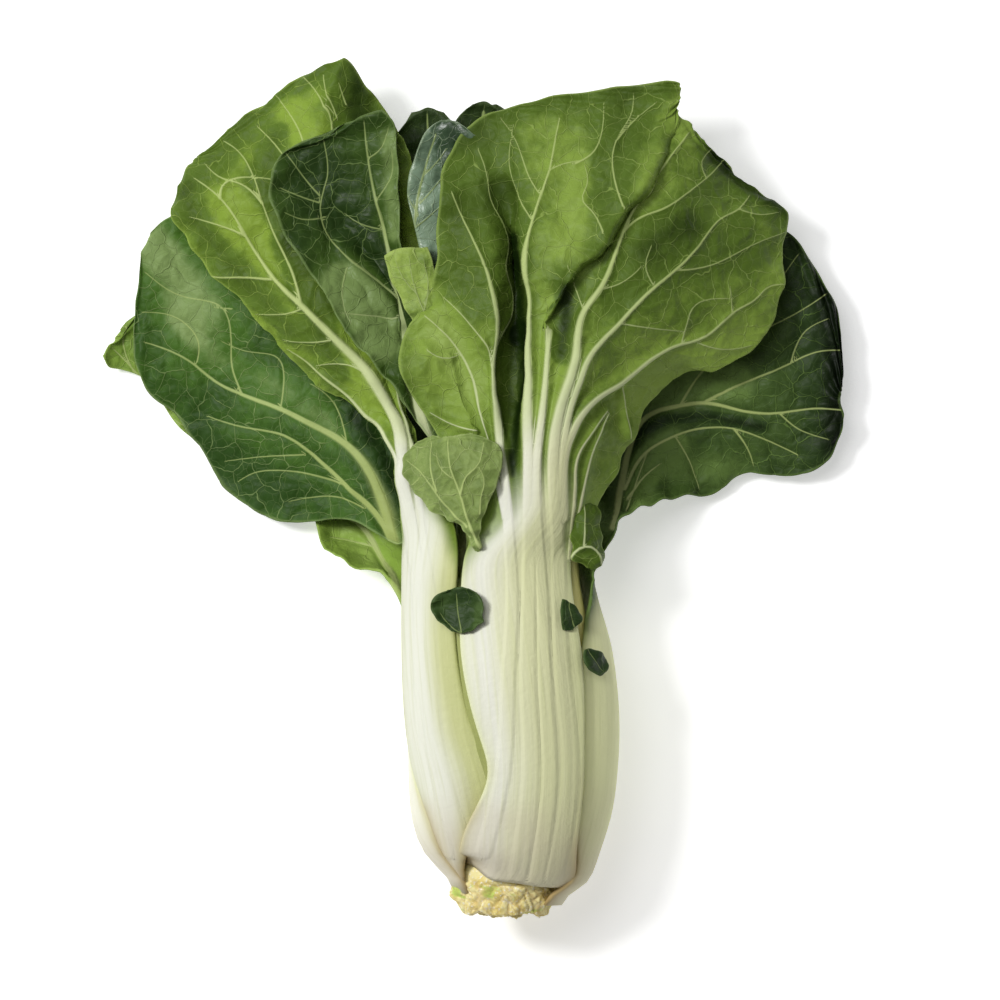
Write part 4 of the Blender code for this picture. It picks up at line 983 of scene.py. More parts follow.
INNER_BACK_LEAF = (
    (-132.5, 184, 210, 236, 0.6, 0, 0, 3.2),
    (-116, 182, 210, 238, 0.68, 0, 0, 5.2),
    (-100, 181, 210, 239, 0.71, 0, 0, 6),
    (-80, 181, 211, 239, 0.72, 0, 0, 6),
    (-58, 181, 212, 239, 0.72, 0, 0, 5.8),
    (-40, 180, 213, 238, 0.7, 0, 0, 5.4),
    (11, -20, 9.5, -3, -20, 10, -15, -20, 14, -0.4, -0.6, 4.6),
    (13, 5, 9.5, -6, 5, 10, -19, 5, 13, -0.3, -0.4, 3.8),
    (20, 35, 9.5, -9, 35, 10, -28, 35, 12, -0.3, -0.3, 3),
    (22, 65, 9.5, -12, 65, 10, -36, 65, 11, 0, 0, 2.4),
    (18, 90, 10.5, -14, 92, 11, -38, 92, 11, 0, 0, 1.9),
    (8, 112, 12, -16, 114, 12, -34, 112, 12, 0, 0, 1.5),
    (-4, 125, 13.6, -17, 127.5, 13.6, -27, 125, 13.2, 0, 0, 1.3),
    (-11, 131, 15, -17, 132.6, 15, -22.4, 131, 14.8, 0, 0, 1),
)
INNER_BACK_VEINS = (
    (6, 1.2, ((-3, -20), (-6, 5), (-9, 35), (-12, 65), (-14, 92), (-16, 114), (-17, 131))),
    (2.4, 0.8, ((-9, 35), (4, 62), (14, 88))),
    (2.4, 0.8, ((-9, 35), (-22, 62), (-33, 90))),
)
grow_leaf("inner_back_blade", "inner_back_leaf", back_skin, INNER_BACK_LEAF, (180, 60),
          INNER_BACK_VEINS, blade=(-40.0, -5.0, 10.0), white=(-40.0, -8.0, 20.0), upper=True, seed=60)

olive_skin = leaf_skin("olive_skin", (0.03, 0.06, 0.010), (0.07, 0.12, 0.018), (0.14, 0.21, 0.05), 0.40,
                       stalk=(0.74, 0.70, 0.28), warm_and_shade=(0.66, 0.62, 0.20), shade=(0.38, 0.34, 0.08))
INNER_RIGHT_LEAF = (
    (-132.5, 40, 65, 90, 0.6, 0, 0, 3.2),
    (-116, 36, 65, 94, 0.68, 0, 0, 5.2),
    (-100, 34, 65, 96, 0.71, 0, 0, 6),
    (-80, 34, 65, 96, 0.72, 0, 0, 6),
    (-74, 36, 62, 90, 0.76, 0, 1, 5.8),
    (-58, 44, 60, 84, 0.86, 2, 2, 5),
    (-41, 46, 58, 74, 0.93, 1, 3, 4.4),
    (30, -20, 46, 35.5, -20, 43, 38, -20, 34, 1, 1, 4.4),
    (27, 0, 49, 36, 0, 43, 40, 0, 33, 1, 1, 4),
    (28, 20, 50, 40, 20, 44, 48, 20, 32, 1, 1, 3.3),
    (30, 45, 49, 46, 45, 43, 59, 42, 31, 1, 1.5, 2.8),
    (34, 70, 47, 54, 70, 40, 71, 64, 27, 1, 1.5, 2.3),
    (42, 92, 42.5, 60, 92, 35.5, 79, 84, 24, 1, 1, 1.9),
    (50, 107, 37.5, 64, 105, 32.5, 78, 98, 25, 0.5, 0.5, 1.6),
    (58, 115.5, 32, 66, 113, 29.5, 73, 107.5, 27, 0, 0, 1.2),
)
INNER_RIGHT_VEINS = (
    (6, 1.2, ((32, -20), (36, 0), (40, 20), (46, 45), (54, 70), (60, 92), (65, 110))),
    (2.4, 0.8, ((40, 20), (52, 42), (66, 62))),
    (2.4, 0.8, ((46, 45), (42, 66), (46, 88))),
)
grow_leaf("inner_right_blade", "inner_right_leaf", olive_skin, INNER_RIGHT_LEAF, (180, 60),
          INNER_RIGHT_VEINS, blade=(-40.0, 5.0, 10.0), white=(-40.0, -8.0, 20.0), upper=True, seed=70)

# its pale bluish light and web greens are painted sheen, on top of the blade's real gloss
sheen_skin = leaf_skin("sheen_skin", (0.035, 0.07, 0.03), (0.20, 0.29, 0.19), (0.28, 0.37, 0.22), 0.24,
                       shine=0.5)
GLOSSY_LEAF = (
    (-132.5, 118, 145, 172, 0.6, 0, 0, 3.2),
    (-116, 115, 145, 175, 0.68, 0, 0, 5.2),
    (-100, 114, 145, 175, 0.71, 0, 0, 6),
    (-80, 114, 145, 176, 0.72, 0, 0, 6),
    (-58, 113, 145, 176, 0.72, 0, 0, 5.8),
    (-40, 116, 146, 175, 0.7, 0, 0, 5.2),
    (27, -20, 18.5, 22, -20, 15, 15.5, -20, 13.5, -0.6, -0.6, 4.4),
    (28, 5, 26, 19, 5, 22, 9, 5, 22, -0.5, -0.5, 4),
    (26, 30, 32, 12, 30, 29, 1, 30, 30, -0.4, -0.4, 3.3),
    (26, 55, 37, 6, 56, 34, -8, 56, 35.5, -0.4, -0.4, 2.8),
    (18, 78, 29, 0, 79, 34, -18.5, 80, 39, -0.4, 0, 2.3),
    (16, 92, 29, -4, 93, 35, -22.5, 94, 40.5, -0.4, 0, 1.9),
    (13, 106, 31, -7, 107, 37, -23.5, 108, 41, 0, 0, 1.6),
    (6, 117, 36, -9, 119, 38.5, -20, 119, 40.6, 0, 0, 1.4),
    (0, 124, 40.5, -9, 126, 40, -15, 125.5, 40.5, 0, 0, 1.2),
    (-6, 127.2, 40.2, -9.2, 128.2, 40, -12, 127.6, 40.2, 0, 0, 1),
)
GLOSSY_VEINS = (
    (4.2, 1.2, ((-12, 2.5), (-15.5, 30.5), (-19, 55), (-21, 72.5), (-22, 84.5), (-21, 97), (-17.5, 112.5),
        (-14, 123))),
    (1.6, 0.7, ((-21.5, 90), (-17.5, 93.5), (-12, 98.5))),
    (1.5, 0.7, ((-20, 98.5), (-15, 104), (-11, 109))),
    (1.4, 0.6, ((-20.5, 95), (-23.5, 100.5), (-25, 105.5))),
    (1.4, 0.6, ((-18, 109), (-13.5, 113.5), (-10.5, 118))),
)
# a darker stroke near the tip and a lighter one down the left: partly the leaf's own tint, partly painted
# shade and painted sheen
GLOSSY_TINT_AND_LIGHT = (
    (-1.3, 5, ((-8, 128), (-6, 112))),
    (0.5, 6, ((-18, 108), (-17, 84))),
)
grow_leaf("glossy_blade", "glossy_leaf", sheen_skin, GLOSSY_LEAF, (200, 80), GLOSSY_VEINS,
          blade=(-40.0, -5.0, 10.0), white=(-40.0, -8.0, 20.0), tint_and_light_strokes=GLOSSY_TINT_AND_LIGHT, upper=True, seed=80)

glossy_skin = leaf_skin("glossy_skin", (0.018, 0.042, 0.006), (0.045, 0.090, 0.012),
                        (0.20, 0.29, 0.09), 0.34, shine=0.18)
INNER_LEFT_LEAF = (
    (-131, 134, 180, 226, 0.3, 0, 0, 2.6),
    (-116, 132, 180, 228, 0.38, 0, 0, 4.4),
    (-100, 132, 180, 228, 0.42, 0, 0, 5),
    (-80, 132, 180, 228, 0.43, 0, 0, 5),
    (-60, 132, 182, 230, 0.41, 0, 0, 5),
    (13, -40, 25.5, 4.5, -40, 21.5, -5, -40, 25.5, -1, -1, 4.8),
    (9, -20, 31, 1, -20, 28, -8, -20, 31, -0.6, -0.6, 4.4),
    (5, 0, 36.5, -1.5, 0, 34.5, -8, 0, 36.5, -0.4, -0.4, 4),
    (-6.5, 17, 41.6, -12.5, 18, 41, -17.5, 16.6, 42.6, -0.3, -0.3, 3.2),
    (-17, 35, 41.5, -24, 36, 41, -30, 34, 43, -0.3, -0.3, 3.2),
    (-19, 55, 41, -27, 58, 38.5, -46.5, 53.5, 43.5, 0, -1, 2.8),
    (-24.5, 76, 39, -28.7, 77, 36.5, -55.5, 70, 43.5, 0, -1.5, 2.4),
    (-26, 96, 38.5, -32.2, 92, 36, -67, 88, 42, 0, -1.5, 2.1),
    (-26.6, 111, 38.5, -35.2, 107, 36, -72, 104.5, 40.5, 0, -1.5, 1.8),
    (-27.6, 122.5, 38.8, -37.5, 119, 38, -67, 116, 40, 0, -1, 1.5),
    (-29.6, 129.2, 39, -38.8, 126.2, 39, -56, 121.8, 40.5, 0, -0.5, 1.3),
    (-32.5, 131.3, 39.4, -39.6, 129, 39.4, -48, 125.6, 40, 0, 0, 1),
)
INNER_LEFT_VEINS = (
    (4.6, 1, ((-15.5, 2.5), (-20, 27), (-24.5, 51.5), (-27.5, 69), (-30.5, 82), (-32, 89.5),
        (-34.5, 99.5), (-37.5, 114.5), (-39, 127.5))),
    (2, 0.8, ((-28, 65.5), (-44, 79), (-51.5, 88), (-54, 99.5), (-52, 107), (-53, 120.5))),
    (1.5, 0.7, ((-54, 101), (-60, 108), (-66, 116))),
    (1.4, 0.7, ((-54.5, 99), (-61, 101), (-68, 104))),
    (1.3, 0.6, ((-52.5, 94), (-59.5, 93), (-66.5, 95))),
    (1.4, 0.6, ((-28, 58.5), (-37, 59), (-47, 60))),
    (1.3, 0.6, ((-32, 89.5), (-40, 91.5), (-45.5, 95))),
    (1.3, 0.6, ((-34.5, 99.5), (-29.5, 107.5), (-29, 118))),
    (1.3, 0.6, ((-37.5, 114.5), (-33, 118), (-30.5, 125))),
    (1.2, 0.6, ((-45, 76), (-47, 65.5), (-44, 56.5))),
)
INNER_LEFT_RIDGE = ((-51, 88), (-45, 82), (-35, 69), (-27, 58), (-23.5, 52))
INNER_LEFT_HOLLOW = ((-52, 100), (-45, 90), (-36, 78), (-27, 66), (-23, 54), (-21, 44))
# lighter strokes: painted sheen on the raised left lobe and on the strip right of the midrib; darker strokes:
# painted shade in the hollow and on the upper left
INNER_LEFT_TINT_AND_LIGHT = (
    (3, 8, ((-46, 70), (-39, 61), (-33, 52))),
    (-0.9, 5, ((-40, 88), (-30, 74), (-24, 62))),
    (1.2, 4, ((-30, 122), (-29, 104), (-28, 88))),
    (-0.6, 10, ((-56, 112), (-52, 98))),
)


def inner_left_folds(base, v):
    """The left lobe rises to a ridge, and beyond it the blade drops into a deep hollow."""
    moved = base.copy()
    x, y = base[..., 0], base[..., 1]
    ridge = fold(x, y, INNER_LEFT_RIDGE, 9.0, 3.0, 0.15, 0.15)
    hollow = fold(x, y, INNER_LEFT_HOLLOW, 3.5, 7.0, 0.3, 0.2)
    moved[..., 2] += 3.5 * ridge - 5.0 * hollow
    return moved


grow_leaf("inner_left_blade", "inner_left_leaf", glossy_skin, INNER_LEFT_LEAF, (270, 120),
          INNER_LEFT_VEINS, blade=(-40.0, 15.0, 10.0), white=(-30.0, 20.0, 20.0), shape=inner_left_folds,
          tint_and_light_strokes=INNER_LEFT_TINT_AND_LIGHT, upper=True, seed=90, swell=1.8)


# --- Left leaf ---------------------------------------------------------------------------
# Outer leaf with its under face up, swept to the upper left.  Its stalk shows whole beside
# the front stalk, and its midrib stands out along the blade.
# its stalk's warm and shade colours are darker: painted shade on the stalk's right side and margins, in the
# crevice beside the front stalk
left_skin = leaf_skin("left_skin", (0.095, 0.162, 0.017), (0.22, 0.33, 0.038), (0.31, 0.43, 0.08), 0.40,
                      vein=(0.45, 0.54, 0.19), stalk=(0.76, 0.77, 0.66), warm_and_shade=(0.60, 0.62, 0.30),
                      shade=(0.44, 0.47, 0.17), shine=0.14)
LEFT_LEAF = (
    (-138.4, -51, -49.5, -48, 1.01, 0, 0.2, 1.6),
    (-135, -53, -49, -44, 1, 0, 0.6, 2.8),
    (-130, -55.5, -46, -36, 0.99, 0, 2, 4.6),
    (-116, -60, -43, -22, 0.99, 0.2, 5, 7.2),
    (-101, -70, -45, -12, 0.99, 0, 7, 8),
    (-88, -76, -50, -21, 1, 0, 5, 8.4),
    (-74, -77, -52, -27, 1, 0, 4, 8.4),
    (-57, -78, -54, -30, 1, 0, 3, 8),
    (-40, -78, -54, -28, 1, 0, 2.4, 7.4),
    (-25.5, -77, -50, -24, 1, 0, 1.2, 6.8),
    (-27, -11.5, 37.5, -18, -11.5, 45.5, -7.5, -12, 49, 1.5, 1.5, 5.6),
    (-30.5, 4.2, 36, -22.5, 5.5, 43.2, -14, 3, 43.6, 1.2, 1, 4.6),
    (-36, 19.3, 34, -29, 23, 41, -21.5, 21.5, 38.4, 1.2, 0.8, 3.4),
    (-48, 29, 31, -37.5, 38.5, 39.8, -23, 42, 35.5, 2.4, 1, 2.8),
    (-60.2, 37.6, 28, -49, 52, 39.5, -20, 72, 33, 3, 1.5, 2.6),
    (-73.2, 50.6, 26, -62, 64.4, 37.6, -21, 104, 30.5, 2.6, 1.5, 2.2),
    (-84, 65.5, 25, -74.5, 78.8, 35, -30.5, 130, 29, 1.5, 1.5, 2),
    (-90.5, 71.5, 24, -80, 85.5, 33.5, -39.6, 142.5, 28, 1.5, 1.5, 1.8),
    (-96.3, 77.7, 23, -85, 91.7, 32, -45.8, 151.2, 27, 1.5, 1.5, 1.7),
    (-101, 84.2, 22, -88.6, 97.5, 30, -55.5, 146.5, 26, 1.2, 1.5, 1.6),
    (-105, 90, 21, -91.7, 102.2, 28, -66.5, 139.5, 24, 1, 1.5, 1.5),
    (-107.8, 97, 20, -97, 109.2, 24.5, -84, 128.5, 22, 0.5, 1, 1.3),
    (-104.7, 105.5, 20, -101.5, 112.7, 21.5, -95.2, 119, 20, 0, 0, 1.1),
)
LEFT_VEINS = (
    (8.5, 1, ((-4, -128), (-12.5, -100), (-15.5, -75), (-17.5, -39.5), (-22, -18.5), (-25.5, 7),
        (-26, 16.5), (-32, 30.5), (-39, 41), (-49.5, 51.5), (-61, 63), (-72, 73.5), (-81, 87.5),
        (-89, 100.5), (-98, 107.5))),
    (6.5, 1, ((-9.5, -128), (-18.5, -98), (-19.5, -75), (-20.5, -39.5), (-24.5, -11.5), (-27.5, 7),
        (-31, 15.5), (-39, 24.5), (-49.5, 34), (-57.5, 40), (-66.5, 47))),
    (4.5, 1, ((-15, -39.5), (-19, -11.5), (-22, 11), (-24.5, 21.5), (-27, 32), (-29, 41))),
    (2, 0.8, ((-72, 72), (-84.5, 72.5), (-97.5, 75), (-106, 82))),
    (1.6, 0.7, ((-60, 62), (-66, 60), (-77.5, 59.5))),
    (1.6, 0.7, ((-49.5, 51), (-59.5, 49.5), (-68, 50.5))),
    (1.8, 0.7, ((-36, 36.5), (-41.5, 41), (-56.5, 41))),
    (2, 0.8, ((-81, 87.5), (-91, 91.5), (-100, 94))),
    (2, 0.7, ((-89, 100.5), (-88.5, 104), (-79, 108), (-70, 107))),
    (2.2, 0.8, ((-61, 63), (-64, 74), (-70, 86.5), (-74.5, 98.5), (-79, 111), (-84, 118), (-89, 121.5))),
    (2, 0.7, ((-74.5, 98.5), (-82, 105.5), (-88.5, 107.5), (-94.5, 112.5))),
    (2.2, 0.8, ((-55, 86.5), (-61, 104), (-66.5, 114.5), (-77, 126.5))),
    (2, 0.7, ((-59.5, 109), (-59.5, 118), (-65, 130), (-70, 137))),
    (2, 0.7, ((-51, 118), (-51, 125), (-55, 137), (-61, 144))),
    (1.4, 0.7, ((-49, 128.5), (-52.5, 139), (-53.5, 144))),
    (1.4, 0.6, ((-45.5, 133.5), (-48, 140.5))),
)
LEFT_UNDER = ((-24, 40), (-30, 60), (-36, 82), (-44, 104), (-46, 120))
LEFT_RIDGE = ((-52, 100), (-58, 108), (-55.5, 120), (-51, 138), (-46, 151))
# darker strokes: painted shade along the curled left margin and at the turned-away tip, and painted shadow
# beside the inner left leaf; lighter strokes: painted light between them
LEFT_TINT_AND_LIGHT = (
    (-1.1, 4.5, ((-103, 102), (-93, 84), (-80, 68), (-66, 54))),
    (0.6, 4.5, ((-82, 60), (-70, 44))),
    (-1.2, 5, ((-68, 84), (-58, 62), (-52, 47), (-48, 40))),
    (0.7, 6, ((-44, 44), (-34, 26))),
    (-1.2, 4.5, ((-70, 124), (-74, 106), (-67, 90), (-57, 74), (-50, 62))),
    (-2, 8, ((-40, 147), (-41, 134), (-38, 124))),
    (-0.9, 5, ((-100, 106), (-78, 132), (-56, 146))),
    (0.6, 8, ((-86, 98), (-76, 86), (-60, 70))),
    (0.6, 8, ((-68, 134), (-60, 120))),
)


def left_folds(base, v):
    """A soft ridge near the top, so that the part right of it turns away, and a low middle."""
    moved = base.copy()
    x, y = base[..., 0], base[..., 1]
    gap, gone = line_gap(x, y, LEFT_RIDGE)
    crest = np.where(gap < 0, np.exp(gap / 14.0), np.exp(-gap / 9.0))
    moved[..., 2] += 5.0 * crest * ease(0.0, 0.45, gone) * (1.0 - 0.5 * ease(0.8, 1.0, gone))
    moved[..., 2] -= 7.5 * fold(x, y, LEFT_UNDER, 11.0, 16.0, 0.2, 0.05)
    return moved


grow_leaf("left_blade", "left_leaf", left_skin, LEFT_LEAF, (320, 150), LEFT_VEINS,
          blade=(-25.0, 25.0, 10.0), white=(-12.0, 6.0, 24.0), shape=left_folds, tint_and_light_strokes=LEFT_TINT_AND_LIGHT,
          seed=100, ribs=0.7, swell=2.4, warm_and_shade=(0.1, 1.0))


# --- Pale leaflet and front leaf ---------------------------------------------------------
# The front leaf lies uppermost, under face up: the widest stalk, and a broad blade pleated
# along its main veins.  A small pale young leaf is caught under its left lobe.
# its stalk, warm and shade colours are dark: painted shade, where its stalk shows in the crevice between the
# left and front stalks
pale_skin = leaf_skin("pale_skin", (0.14, 0.22, 0.035), (0.37, 0.50, 0.10), (0.44, 0.55, 0.17), 0.42,
                      stalk=(0.50, 0.52, 0.25), warm_and_shade=(0.34, 0.37, 0.12), shade=(0.22, 0.25, 0.08))
PALE_LEAFLET = (
    (-131, -36, -12, 12, 0.6, 0, 0, 2.4),
    (-116, -36, -18, 6, 0.76, 0, 0, 3.4),
    (-98, -40, -22, 0, 0.85, 0, 0, 3.4),
    (-76, -42, -25, -6, 0.88, 0, 0, 3.4),
    (-57, -44, -26, -6, 0.87, 0, 0, 3.2),
    (-9, -42, 52, -4, -42, 55, 3, -42, 57, 0.6, 0.6, 3),
    (-4, -20, 45.5, 2, -20, 47, 8, -20, 46, 0.4, 0.4, 3.2),
    (-8, 2, 46.5, -3, 2, 47.5, 2, 2, 47, 0.3, 0.3, 2.7),
    (-13.5, 22, 47.6, -9.5, 22, 48.3, -5.5, 22, 48, 0.2, 0.2, 2),
    (-17, 41, 47, -13.5, 41, 48, -10, 41, 47.6, 0.2, 0.2, 1.7),
    (-21.5, 55, 46.5, -16.5, 56, 47.5, -11, 56, 47, 0.4, 0.4, 1.5),
    (-26.5, 65, 46, -20.5, 66, 47.5, -12.8, 67, 47, 0.5, 0.5, 1.3),
    (-31.2, 75.5, 45.5, -23.8, 76, 47, -14.2, 76.5, 46.5, 0.5, 0.5, 1.2),
    (-31.8, 80.2, 45.3, -24.4, 82.6, 46.4, -16.6, 83.4, 46, 0, 0, 1),
)
PALE_VEINS = (
    (1.6, 0.6, ((-15.5, 55), (-19, 63.5), (-22, 72.5), (-23, 79.5))),
    (1.2, 0.5, ((-17.5, 62), (-16.5, 69), (-18, 79))),
    (1.2, 0.5, ((-20.5, 67), (-25.5, 73), (-28, 79))),
    (1, 0.5, ((-18, 63.5), (-15, 69))),
)
grow_leaf("pale_blade", "pale_leaflet", pale_skin, PALE_LEAFLET, (160, 60), PALE_VEINS,
          blade=(-40.0, 10.0, 10.0), white=(-30.0, 5.0, 20.0), seed=110, ruffle=(0.8, 9.0), net=6.0)

# its stalk's warm colour is darker than the white: partly its own yellowing, partly painted shade on the
# stalk's right side
front_skin = leaf_skin("front_skin", (0.090, 0.152, 0.018), (0.218, 0.322, 0.050), (0.31, 0.42, 0.10), 0.40,
                       vein=(0.42, 0.51, 0.18), stalk=(0.80, 0.80, 0.70), warm_and_shade=(0.71, 0.72, 0.42),
                       shine=0.14)
FRONT_LEAF = (
    (-141.6, -50, 6, 60, 1.12, 0, 0, 3.4),
    (-138.8, -45, 8, 56, 1.06, 0, 0, 5),
    (-131, -38.5, 11, 47, 1.03, 0, 0, 8),
    (-116, -24, 12, 43, 1.02, 0, 0, 9),
    (-101, -13, 13, 43, 1.01, 0, 0, 9.2),
    (-88, -17, 12.5, 43, 1, 0, 0, 9),
    (-74, -22, 12, 44, 1, 0, 0, 8.6),
    (-57, -25, 11.5, 46, 1, 0, 0, 8.2),
    (-40, -23, 12, 48, 1, 0, 0, 7.6),
    (-25.5, -19, 14, 52, 1, 0, 0, 7),
    (-2.5, -13, 55, 25.9, -8, 60.5, 38.5, -17, 47, 1.5, 1.5, 6.4),
    (-8, 3, 54, 27.3, 5.3, 61.8, 44.8, -4.6, 43, 1.5, 1.5, 5.2),
    (-16.5, 21.7, 52, 30.5, 20, 62, 54.3, 13, 39, 1, 1.5, 4.2),
    (-25.2, 35.7, 51, 34.3, 35.7, 61.5, 64.8, 32, 35, 1, 2, 3.4),
    (-24.5, 53, 50, 38.5, 50.8, 60, 84, 40.3, 31, 1, 2.5, 2.8),
    (-15.8, 68.3, 50, 43.8, 65.5, 58, 100.5, 52.2, 28, 1, 3, 2.4),
    (-13.3, 86.5, 49, 49.4, 79.5, 55, 108, 70.7, 26, 1, 3, 2),
    (-11.9, 107.5, 47.5, 55, 90.7, 51.5, 110, 87, 25, 1.5, 3, 1.7),
    (-5.3, 123.2, 45, 60.6, 101.2, 47.5, 110.5, 96.3, 25, 1.5, 2.5, 1.5),
    (12.3, 133.5, 42.5, 65.5, 110, 43.8, 101.5, 104, 27, 1, 2, 1.4),
    (43.8, 138.5, 39.5, 68.5, 117.5, 40.5, 90.5, 112, 31, 0.5, 1, 1.2),
    (61, 141.4, 38, 70.4, 122, 38.8, 83, 117.6, 33.6, 0.5, 0.5, 1.1),
    (71.8, 141.2, 36.6, 72.6, 131, 37.4, 75.5, 122.3, 35.8, 0, 0, 1),
)
FRONT_VEINS = (
    (7.5, 1.2, ((27.5, -137), (33.5, -100), (31, -70), (29.5, -39.5), (28.5, -11.5), (27.5, 14.5),
        (31, 31.5), (35, 45.5), (38, 60.5), (43.5, 68), (51, 87), (55.5, 97), (65.5, 111.5), (74, 123))),
    (1.9, 0.8, ((51, 87), (55, 91.5), (65.5, 96), (74, 102), (81, 107.5), (87.5, 114))),
    (3.6, 1, ((29.5, -4.5), (32, 23.5), (36.5, 38.5), (38.5, 43.5), (50, 56.5), (59.5, 67), (69, 75),
        (79, 85.5), (86.5, 93.5), (93, 97), (97, 102))),
    (1.4, 0.7, ((69, 75), (80.5, 76.5), (91, 81), (101.5, 86), (109, 88.5))),
    (3.8, 1, ((31, -11.5), (32, 14.5), (34.5, 21), (40.5, 29.5), (50, 36.5), (60.5, 43.5), (72, 49.5),
        (77, 51), (89, 60.5), (98, 66), (103, 70), (107, 70.5))),
    (1.2, 0.6, ((77.5, 50), (86, 48), (96, 49.5))),
    (1.2, 0.7, ((89, 60.5), (88.5, 69))),
    (2.4, 1, ((33, -25.5), (34.5, -1), (35.5, 10), (40.5, 19), (45.5, 26))),
    (2.2, 1, ((34, -29), (37.5, -1), (40, 10), (43.5, 19.5), (46, 25))),
    (7.5, 1, ((15, -136), (19.5, -100), (18.6, -70), (18.8, -39.5), (19, -11.5), (18.8, 14.5), (18.6, 35),
        (18.2, 48.5), (18.2, 66), (18.5, 80.5), (20.5, 91.5), (23, 101), (26, 110), (27.5, 118),
        (29.5, 128.5))),
    (6.5, 2.8, ((21.5, -137), (26, -100), (24.5, -70), (23.5, -39.5), (21.6, -11.5), (22, 13), (23.5, 24),
        (25, 42), (26, 54))),
    (6.5, 1, ((3, -128), (10, -98), (11.5, -70), (13, -39.5), (11.5, -11.5), (9.5, 10), (7.5, 24.5),
        (7, 35), (7.5, 52), (6.5, 61), (4.5, 73), (2, 80.5), (-3.5, 91.5), (-8, 102))),
    (1.8, 0.7, ((8, 40), (9, 51.5), (12, 59), (12.5, 65.5), (9.5, 75), (10, 84), (6.5, 101), (4, 110),
        (1, 118))),
    (1.8, 0.7, ((7, 38.5), (4.5, 48), (2, 51.5), (-5, 60), (-11, 65.5))),
    (3, 0.9, ((10.5, -11.5), (6, 9.5), (3, 21), (0.5, 30.5), (-2, 39), (-5, 45.5), (-10.5, 53),
        (-17.5, 59))),
    (1.3, 0.6, ((0, 19), (-9, 21.5), (-15.5, 25))),
    (1.2, 0.6, ((-5, 45.5), (-12, 44.5), (-16.5, 47))),
    (1.4, 0.7, ((44.5, 88), (40, 96.5), (37.5, 99.5), (39, 105), (38.5, 111.5))),
    (1.4, 0.7, ((35, 112.5), (40, 115), (45, 133.5))),
    (1.6, 0.7, ((51.5, 97), (48, 112.5), (49, 119.5), (54.5, 129.5), (55.5, 137))),
    (1.2, 0.6, ((20.5, 91.5), (14.5, 102), (12, 111), (13.5, 126.5))),
    (1.2, 0.6, ((23, 101), (19, 107.5), (14, 121.5), (9, 129))),
    (1.2, 0.6, ((26, 110), (31.5, 112.5), (37.5, 113.5))),
    (1.2, 0.6, ((49, 119.5), (57.5, 129), (63, 133.5))),
    (1.2, 0.6, ((43.5, 68), (51, 70.5), (57.5, 76))),
    (1.2, 0.6, ((50, 56.5), (61, 55), (72, 54))),
    (1.2, 0.6, ((50, 36.5), (52.5, 23.5), (53.5, 16.5))),
    (1.2, 0.6, ((72, 49.5), (73, 55), (75, 62), (89, 65.5))),
    (1.3, 0.6, ((38, 60.5), (35, 69), (32.5, 76))),
    (1.2, 0.6, ((62, 69), (59, 76), (61, 83))),
    (1.2, 0.6, ((81, 107.5), (79, 112.5), (83, 118))),
    (1.2, 0.6, ((93, 97), (100, 95), (107, 96))),
)
# darker strokes: painted shade in the valley left of the middle, beside the centre vein and right of the lap,
# partly also a darker tint along the top margin; lighter strokes: painted light on parts of the lobes
FRONT_TINT_AND_LIGHT = (
    (-1.3, 5.5, ((9.5, 103), (12.6, 92), (14, 78))),
    (-2.4, 2.4, ((14.2, 86), (15, 69), (14.8, 52))),
    (-2.6, 1.9, ((14.8, 54), (14, 30), (13, 14), (12.2, 4))),
    (-1, 9, ((-12, 100), (-7, 86), (-2, 72))),
    (-0.8, 6, ((-8, 120), (10, 134), (44, 139), (64, 142))),
    (-0.9, 8, ((52, 134), (50, 118), (46, 102))),
    (-0.6, 6, ((88, 112), (80, 104))),
    (-1.5, 6, ((58, 82), (66, 88), (76, 92))),
    (-2, 4.5, ((84, 117), (97, 107), (111, 97))),
    (0.7, 5, ((36, 112), (36, 98), (32, 84))),
    (0.5, 8, ((58, 30), (78, 42), (98, 52))),
    (-0.9, 9, ((-6, 126), (4, 118), (2, 100))),
    (1, 8, ((-14, 56), (-9, 44), (-2, 34))),
    (-2.2, 3.6, ((32, 68), (30.5, 54), (29.5, 46))),
    (-0.7, 9, ((52, 68), (72, 78), (92, 84))),
    (0.9, 4, ((26, 62), (26, 40), (24, 26))),
)
FRONT_VALLEY = (
    (12.2, -1), (12.2, 11), (12.6, 27), (13.6, 42), (13.8, 55), (14.2, 69), (13.4, 84), (12.2, 95),
    (8.4, 108), (6, 116),
)
FRONT_CREASE = ((8, 0), (6.6, 9), (3.5, 19), (-0.4, 30), (-4.5, 43), (-10, 55), (-15, 62))
FRONT_LAP = (
    (21, 36), (21.7, 42), (24.5, 56), (29.4, 65), (32.2, 72.5), (35, 77), (40.6, 80.5), (44.5, 85.4),
    (51.5, 97.3), (57.7, 104), (63, 114.5), (67.5, 125), (69, 131),
)
FRONT_NOTCH = (74.0, 131.0)


